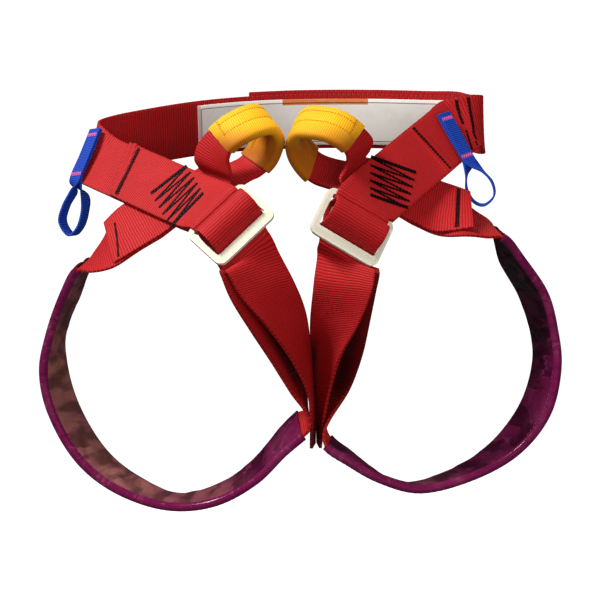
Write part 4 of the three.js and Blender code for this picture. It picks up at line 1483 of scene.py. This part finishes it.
class HARNESS_OT_gear_loops(bpy.types.Operator):
    """Loops the blue tapes at the hips"""

    bl_idname = "harness.gear_loops"
    bl_label = "Gear Loops"

    STEP = 0.9 * MM
    COLUMNS = 6
    EDGE = 0.5 * MM

    def execute(self, context):
        layout = Layout(context.scene.harness_sizes)
        c = context.scene.harness_colours
        cloth = woven(
            "blue_tape", c.blue, c.blue_deep, rib=1.5 * MM, yarn=1 * MM, soiling=0.3, depth=0.35 * MM)
        for side in SIDES:
            route = layout.gear(side)
            frames = route.even(0, route.last, self.STEP)
            piece = strap(f"gear_loop_tape_{side}", frames, self.COLUMNS, self.EDGE)
            dress(piece, cloth, "tape_blue", f"gear_loop_{side}")
        return {"FINISHED"}


class HARNESS_OT_label(bpy.types.Operator):
    """Sews the bare label to the inside of the belt"""

    bl_idname = "harness.label"
    bl_label = "Label"

    STEP = 2 * MM
    COLUMNS = 10
    EDGE = 0.2 * MM
    # The coloured band: its lower edge, its middle along the label and half of its length
    BAND_FROM = 14.4 * MM
    BAND_AT = 102 * MM
    BAND_HALF = 34 * MM
    # The length of the sewn ends, and the line beside the edge: its distance, half width and
    # strength
    SEWN_END = 2.4 * MM
    LINE_AT = 3 * MM
    LINE_HALF = 0.4 * MM
    LINE_TONE = 0.75

    def cloth(self, context, length):
        c = context.scene.harness_colours
        made, w, shader, at = new_material(
            "label_cloth", Sheen_Weight=0.15, Specular_IOR_Level=0.3, Roughness=0.6)
        parts = w.node("ShaderNodeSeparateXYZ", {0: at["Weave"]}).outputs
        from_middle = w.math("ABSOLUTE", w.math("SUBTRACT", parts["Y"], self.BAND_AT))
        band = w.math("LESS_THAN", from_middle, self.BAND_HALF)
        band = w.math("MULTIPLY", w.math("GREATER_THAN", parts["X"], self.BAND_FROM), band)
        ground = w.mix(band, linear(c.label), linear(c.label_band))
        half = context.scene.harness_sizes.label_height / 2
        from_side = w.math("SUBTRACT", half, w.math("ABSOLUTE", parts["X"]))
        from_end = w.math("MINIMUM", parts["Y"], w.math("SUBTRACT", length, parts["Y"]))
        from_edge = w.math("MINIMUM", from_side, from_end)
        ground = w.mix(w.math("LESS_THAN", from_end, self.SEWN_END), ground, linear(c.label_edge))
        line = w.math("COMPARE", from_edge, self.LINE_AT, self.LINE_HALF)
        ground = w.mix(w.math("MULTIPLY", line, self.LINE_TONE), ground, linear(c.thread_red))
        dull = [v * 0.85 for v in c.label]
        fine_marks(
            w, shader, at, ground, linear(dull), grain=1400.0, marks=0.25, strength=0.3, depth=0.2 * MM)
        return made

    def execute(self, context):
        sizes = context.scene.harness_sizes
        layout = Layout(sizes)
        inside = -layout.belt_outside()
        frames = layout.belt_left().even(*(FRONT_ROWS + 1 + row for row in LABEL_ROWS), self.STEP)
        count = len(frames.length)
        frames = frames._replace(
            width=np.full(count, sizes.label_height), thick=np.full(count, sizes.label_thick))
        rise = sizes.web_thick / 2 + GAP + sizes.label_thick / 2
        piece = strap("label_cloth_sheet", lifted(frames, inside * rise), self.COLUMNS, self.EDGE)
        dress(piece, self.cloth(context, float(frames.length[-1])), "label_cloth", "label")
        return {"FINISHED"}


class HARNESS_OT_stitching(bpy.types.Operator):
    """Sews the zigzags, the hems, the sleeves and the bar tacks"""

    bl_idname = "harness.stitching"
    bl_label = "Stitching"

    STEP = 2.6 * MM
    FINE_STEP = 2.4 * MM
    SUNK = 0.1 * MM
    LINE_POINTS = 24
    # The fine thread's share of the heavy one's thickness
    FINE_THREAD = 0.55
    # In a leg sleeve's groove: the rows left free at each end, and the stitches' step
    GROOVE_FREE = 0.1
    GROOVE_STEP = 3.4 * MM
    # Bar tacks: rows from the tape's end, half of their share of its width, the number of their
    # tips, how far these reach along the tape, and the stitches' step
    TACK_ROWS = (1.75, 0.25)
    TACK_WIDE = 0.42
    TACK_TIPS = 11
    TACK_REACH = 1.6 * MM
    TACK_STEP = 4 * MM

    def tab_line(self, layout, side, ways, first, last):
        """A close seam on a tab's face, between places along two ways in its plane."""
        p = layout.plane(side)
        shares = np.linspace(0, 1, self.LINE_POINTS)[:, None]
        flat = place(first) * (1 - shares) + place(last) * shares
        offset = flat[:, :1] * ways[0] + flat[:, 1:] * ways[1]
        tab = layout.front(side).frames(np.linspace(0, len(TAB_ROWS), DENSE * len(TAB_ROWS)))
        run = tab.middle - p.middle
        rise = np.interp(offset @ p.belt, run @ p.belt, run @ p.out + tab.thick / 2)
        points = p.middle + offset + p.out * (rise + self.SUNK)[:, None]
        return seam(points, p.out, self.STEP, fill=1.0)

    def strap_line(self, route, rows, way, middle, first, last):
        """A close seam on the front of a strap, from distances along its way and across it."""
        frames = route.frames(rows)
        run = (frames.middle - middle) @ way
        order = np.argsort(run)
        shares = np.linspace(0, 1, self.LINE_POINTS)
        along, across = (np.interp(shares, (0, 1), (a * MM, b * MM)) for a, b in zip(first, last))
        points, outs = on_strap(route, np.interp(along, run[order], rows[order]), across, self.SUNK)
        return seam(points, outs, self.STEP, fill=1.0)

    def zigzag(self, layout, side):
        p = layout.plane(side)
        tips = []
        for share in np.linspace(0, 1, ZIGZAG_TIPS):
            for first, last in ZIGZAG[side]:
                tips.append((1 - share) * np.array(first) + share * np.array(last))
        strokes = list(zip(tips, tips[1:]))
        strokes += [(a + ZIGZAG_DOUBLE, b + ZIGZAG_DOUBLE) for a, b in (strokes[0], strokes[-1])]
        return [self.tab_line(layout, side, (p.leg, p.leg_across), a, b) for a, b in strokes]

    def hems(self, layout, side):
        p = layout.plane(side)
        route, _ = layout.leg(side)
        hem = np.linspace(0, 1.5, 2 * DENSE)
        lines = [self.tab_line(layout, side, (p.belt, p.belt_across), *ends) for ends in TAB_SEAMS[side]]
        lines += [self.strap_line(route, hem, p.leg, p.middle, *ends) for ends in LEG_SEAMS[side]]
        if side == "right":
            front = layout.front_right()
            hip = np.linspace(FRONT_ROWS - 1, FRONT_ROWS, DENSE)
            lines += [self.strap_line(front, hip, p.belt, p.middle, *ends) for ends in HIP_SEAMS]
            belt = layout.belt_right()
            shares = np.linspace(0, 1, self.LINE_POINTS)
            for spots in BELT_SEAMS:
                corners = np.linspace(0, 1, len(spots))
                rows, across = (np.interp(shares, corners, part) for part in zip(*spots))
                for beside in BELT_SEAM_ROWS:
                    points, outs = on_strap(belt, rows + beside, across * MM, self.SUNK)
                    lines.append(seam(points, outs, self.STEP, fill=1.0))
        return lines

    def loop_seams(self, layout, side):
        """The two long seams of a loop's sleeve and the short one near each end, on both faces."""
        route, marks = layout.leg(side)
        frames = route.even(*(marks["loop"] + row for row in LOOP_SLEEVE_ROWS), self.FINE_STEP / 2)
        profile = place(LOOP_PROFILE)
        ends = (frames.length[0] + LOOP_SEAM_END, frames.length[-1] - LOOP_SEAM_END)
        inner = np.flatnonzero((frames.length > ends[0]) & (frames.length < ends[1]))
        cross = np.linspace(*LOOP_CROSS, self.LINE_POINTS)
        lines = []
        for face in (1, -1):
            for rows, across in (
                *((inner, np.full(len(inner), a)) for a in LOOP_SEAMS),
                *((np.full(len(cross), row), cross) for row in (inner[0], inner[-1])),
            ):
                rise = face * (np.interp(across, *profile.T) + self.SUNK)
                out = frames.out[rows]
                points = frames.middle[rows] + frames.across[rows] * across[:, None] + out * rise[:, None]
                lines.append(seam(points, out * face, self.FINE_STEP, fill=0.75))
        return lines

    def groove_seams(self, layout, side):
        """The seam in the groove beside a leg sleeve's bead, on both faces."""
        route, marks = layout.leg(side)
        first, last = marks["sleeve"] + self.GROOVE_FREE, marks["sleeve_end"] - self.GROOVE_FREE
        frames = route.even(first, last, STRAP_STEP)
        half = np.interp(GROOVE, *place(SLEEVE_PROFILE).T)
        lines = []
        for face in (1, -1):
            points = frames.middle + frames.across * GROOVE + frames.out * face * half
            lines.append(seam(points, frames.out * face, self.GROOVE_STEP, fill=0.72))
        return lines

    def tacks(self, layout, side):
        """The bar tacks at both ends of the sewn part of a gear loop."""
        route = layout.gear(side)
        lines = []
        for from_end in self.TACK_ROWS:
            f = route.frames(route.last - from_end)
            facing = -np.sign(f.out[0, 1])
            top = f.middle[0] + f.out[0] * facing * f.thick[0] / 2
            sides = np.linspace(-self.TACK_WIDE, self.TACK_WIDE, self.TACK_TIPS) * f.width[0]
            reach = np.where(np.arange(len(sides)) % 2, self.TACK_REACH, -self.TACK_REACH)
            points = top + f.across[0] * sides[:, None] + f.along[0] * reach[:, None]
            out = f.out[0] * facing
            lines += [seam(pair, out, self.TACK_STEP, fill=1.0) for pair in zip(points, points[1:])]
        return lines

    def execute(self, context):
        sizes = context.scene.harness_sizes
        c = context.scene.harness_colours
        layout = Layout(sizes)
        fine = sizes.thread * self.FINE_THREAD
        for name, lines, width, height, colour, slot in (
            ("zigzag_stitches", self.zigzag, sizes.thread * 1.25, 1.2 * MM, c.thread_dark, "webbing_red"),
            ("hem_stitches", self.hems, sizes.thread * 1.2, 1 * MM, c.thread_red, "webbing_red"),
            ("loop_sleeve_stitches", self.loop_seams, fine, 0.6 * MM, c.thread_yellow, "tape_yellow"),
            ("leg_sleeve_stitches", self.groove_seams, fine, 0.6 * MM, c.thread_purple, "coated_purple"),
            ("bar_tacks", self.tacks, fine * 1.3, 0.7 * MM, c.thread_pink, "tape_blue"),
        ):
            thread = thread_material(f"{name}_thread", colour)
            sew(name, [line for side in SIDES for line in lines(layout, side)], width, height, thread, slot)
        return {"FINISHED"}


class HARNESS_OT_stage(bpy.types.Operator):
    """Sets the floor, the light and the camera"""

    bl_idname = "harness.stage"
    bl_label = "Stage"

    CAMERA_AT = (0, -1.2, -0.122)
    LENS = 96
    SENSOR = 36
    FLOOR_AT = -0.55
    FLOOR_SIZE = 40
    FLOOR_BOUNCE = (0.06, 0.06, 0.06, 1)
    FLOOR_GLOW = 0.95
    # The surroundings' strength as light and in reflections, and what is added where they show
    AROUND = 0.24
    AROUND_GLOSSY = 0.02
    AROUND_SEEN = 0.9
    LIGHTS = (
        ("key", (-1.0, -0.8, 1.15), 0.4, 36),
        ("fill", (0.4, -1.6, -0.35), 1.2, 22),
        ("back", (0.4, 1.5, 1.1), 1.5, 14),
    )
    AIM = Vector((0, 0, -0.1))

    def light(self, name, at, size, power):
        bpy.ops.object.light_add(type="AREA", location=at)
        lamp = bpy.context.object
        lamp.name = f"{name}_light"
        lamp.data.size = size
        lamp.data.energy = power
        lamp.visible_glossy = name == "key"
        lamp.rotation_euler = (self.AIM - Vector(at)).to_track_quat("-Z", "Y").to_euler()

    def floor(self, colour):
        deselect()
        bpy.ops.mesh.primitive_grid_add(
            x_subdivisions=4, y_subdivisions=4, size=self.FLOOR_SIZE, location=(0, 0, self.FLOOR_AT))
        piece = name_piece("floor")
        made, w, shader, at = new_material("pale_floor", Roughness=0.9, Specular_IOR_Level=0.1)
        grain = w.noise(at["Place"], 3.0, 3.0)
        pale = linear(colour)
        seen = w.node("ShaderNodeLightPath").outputs["Is Camera Ray"]
        tint = w.mix(grain, pale, [v * 0.98 for v in pale])
        w.feed(shader.inputs["Base Color"], w.mix(seen, self.FLOOR_BOUNCE, tint))
        shader.inputs["Emission Color"].default_value = pale
        w.feed(shader.inputs["Emission Strength"], w.ramp(seen, 0.0, 1.0, 0.0, self.FLOOR_GLOW))
        piece.data.materials.append(made)

    def world(self):
        world = bpy.data.worlds.new("studio")
        bpy.context.scene.world = world
        world.use_nodes = True
        w = Wiring(world.node_tree)
        background = world.node_tree.nodes["Background"]
        background.inputs["Color"].default_value = (1, 1, 1, 1)
        ray = w.node("ShaderNodeLightPath").outputs
        around = w.ramp(ray["Is Glossy Ray"], 0.0, 1.0, self.AROUND, self.AROUND_GLOSSY)
        seen = w.math("MULTIPLY", ray["Is Camera Ray"], self.AROUND_SEEN)
        w.feed(background.inputs["Strength"], w.math("ADD", around, seen))

    def execute(self, context):
        context.scene.view_settings.view_transform = "Standard"
        for row in self.LIGHTS:
            self.light(*row)
        self.floor(context.scene.harness_colours.floor)
        self.world()
        bpy.ops.object.camera_add(location=self.CAMERA_AT, rotation=(math.radians(90), 0, 0))
        camera = bpy.context.object
        camera.name = "front_camera"
        camera.data.lens = self.LENS
        camera.data.sensor_width = self.SENSOR
        context.scene.camera = camera
        return {"FINISHED"}


class HARNESS_PT_panel(bpy.types.Panel):
    """Lists the sizes, the colours and the steps of the harness"""

    bl_idname = "HARNESS_PT_panel"
    bl_label = "Caving Harness"
    bl_space_type = "VIEW_3D"
    bl_region_type = "UI"
    bl_category = "Harness"

    def draw(self, context):
        for settings in (context.scene.harness_sizes, context.scene.harness_colours):
            column = self.layout.column()
            for name in settings.__annotations__:
                column.prop(settings, name)
        for step in STEPS:
            self.layout.operator(step.bl_idname)


STEPS = (
    HARNESS_OT_belts,
    HARNESS_OT_leg_straps,
    HARNESS_OT_loop_sleeves,
    HARNESS_OT_leg_sleeves,
    HARNESS_OT_buckles,
    HARNESS_OT_gear_loops,
    HARNESS_OT_label,
    HARNESS_OT_stitching,
    HARNESS_OT_stage,
)
CLASSES = (HarnessSizes, HarnessColours, *STEPS, HARNESS_PT_panel)


def register():
    for kind in CLASSES:
        bpy.utils.register_class(kind)
    bpy.types.Scene.harness_sizes = PointerProperty(type=HarnessSizes)
    bpy.types.Scene.harness_colours = PointerProperty(type=HarnessColours)


def unregister():
    del bpy.types.Scene.harness_colours
    del bpy.types.Scene.harness_sizes
    for kind in reversed(CLASSES):
        bpy.utils.unregister_class(kind)


def main():
    register()
    bpy.ops.harness.belts()
    bpy.ops.harness.leg_straps()
    bpy.ops.harness.loop_sleeves()
    bpy.ops.harness.leg_sleeves()
    bpy.ops.harness.buckles()
    bpy.ops.harness.gear_loops()
    bpy.ops.harness.label()
    bpy.ops.harness.stitching()
    bpy.ops.harness.stage()


if __name__ == "__main__":
    main()
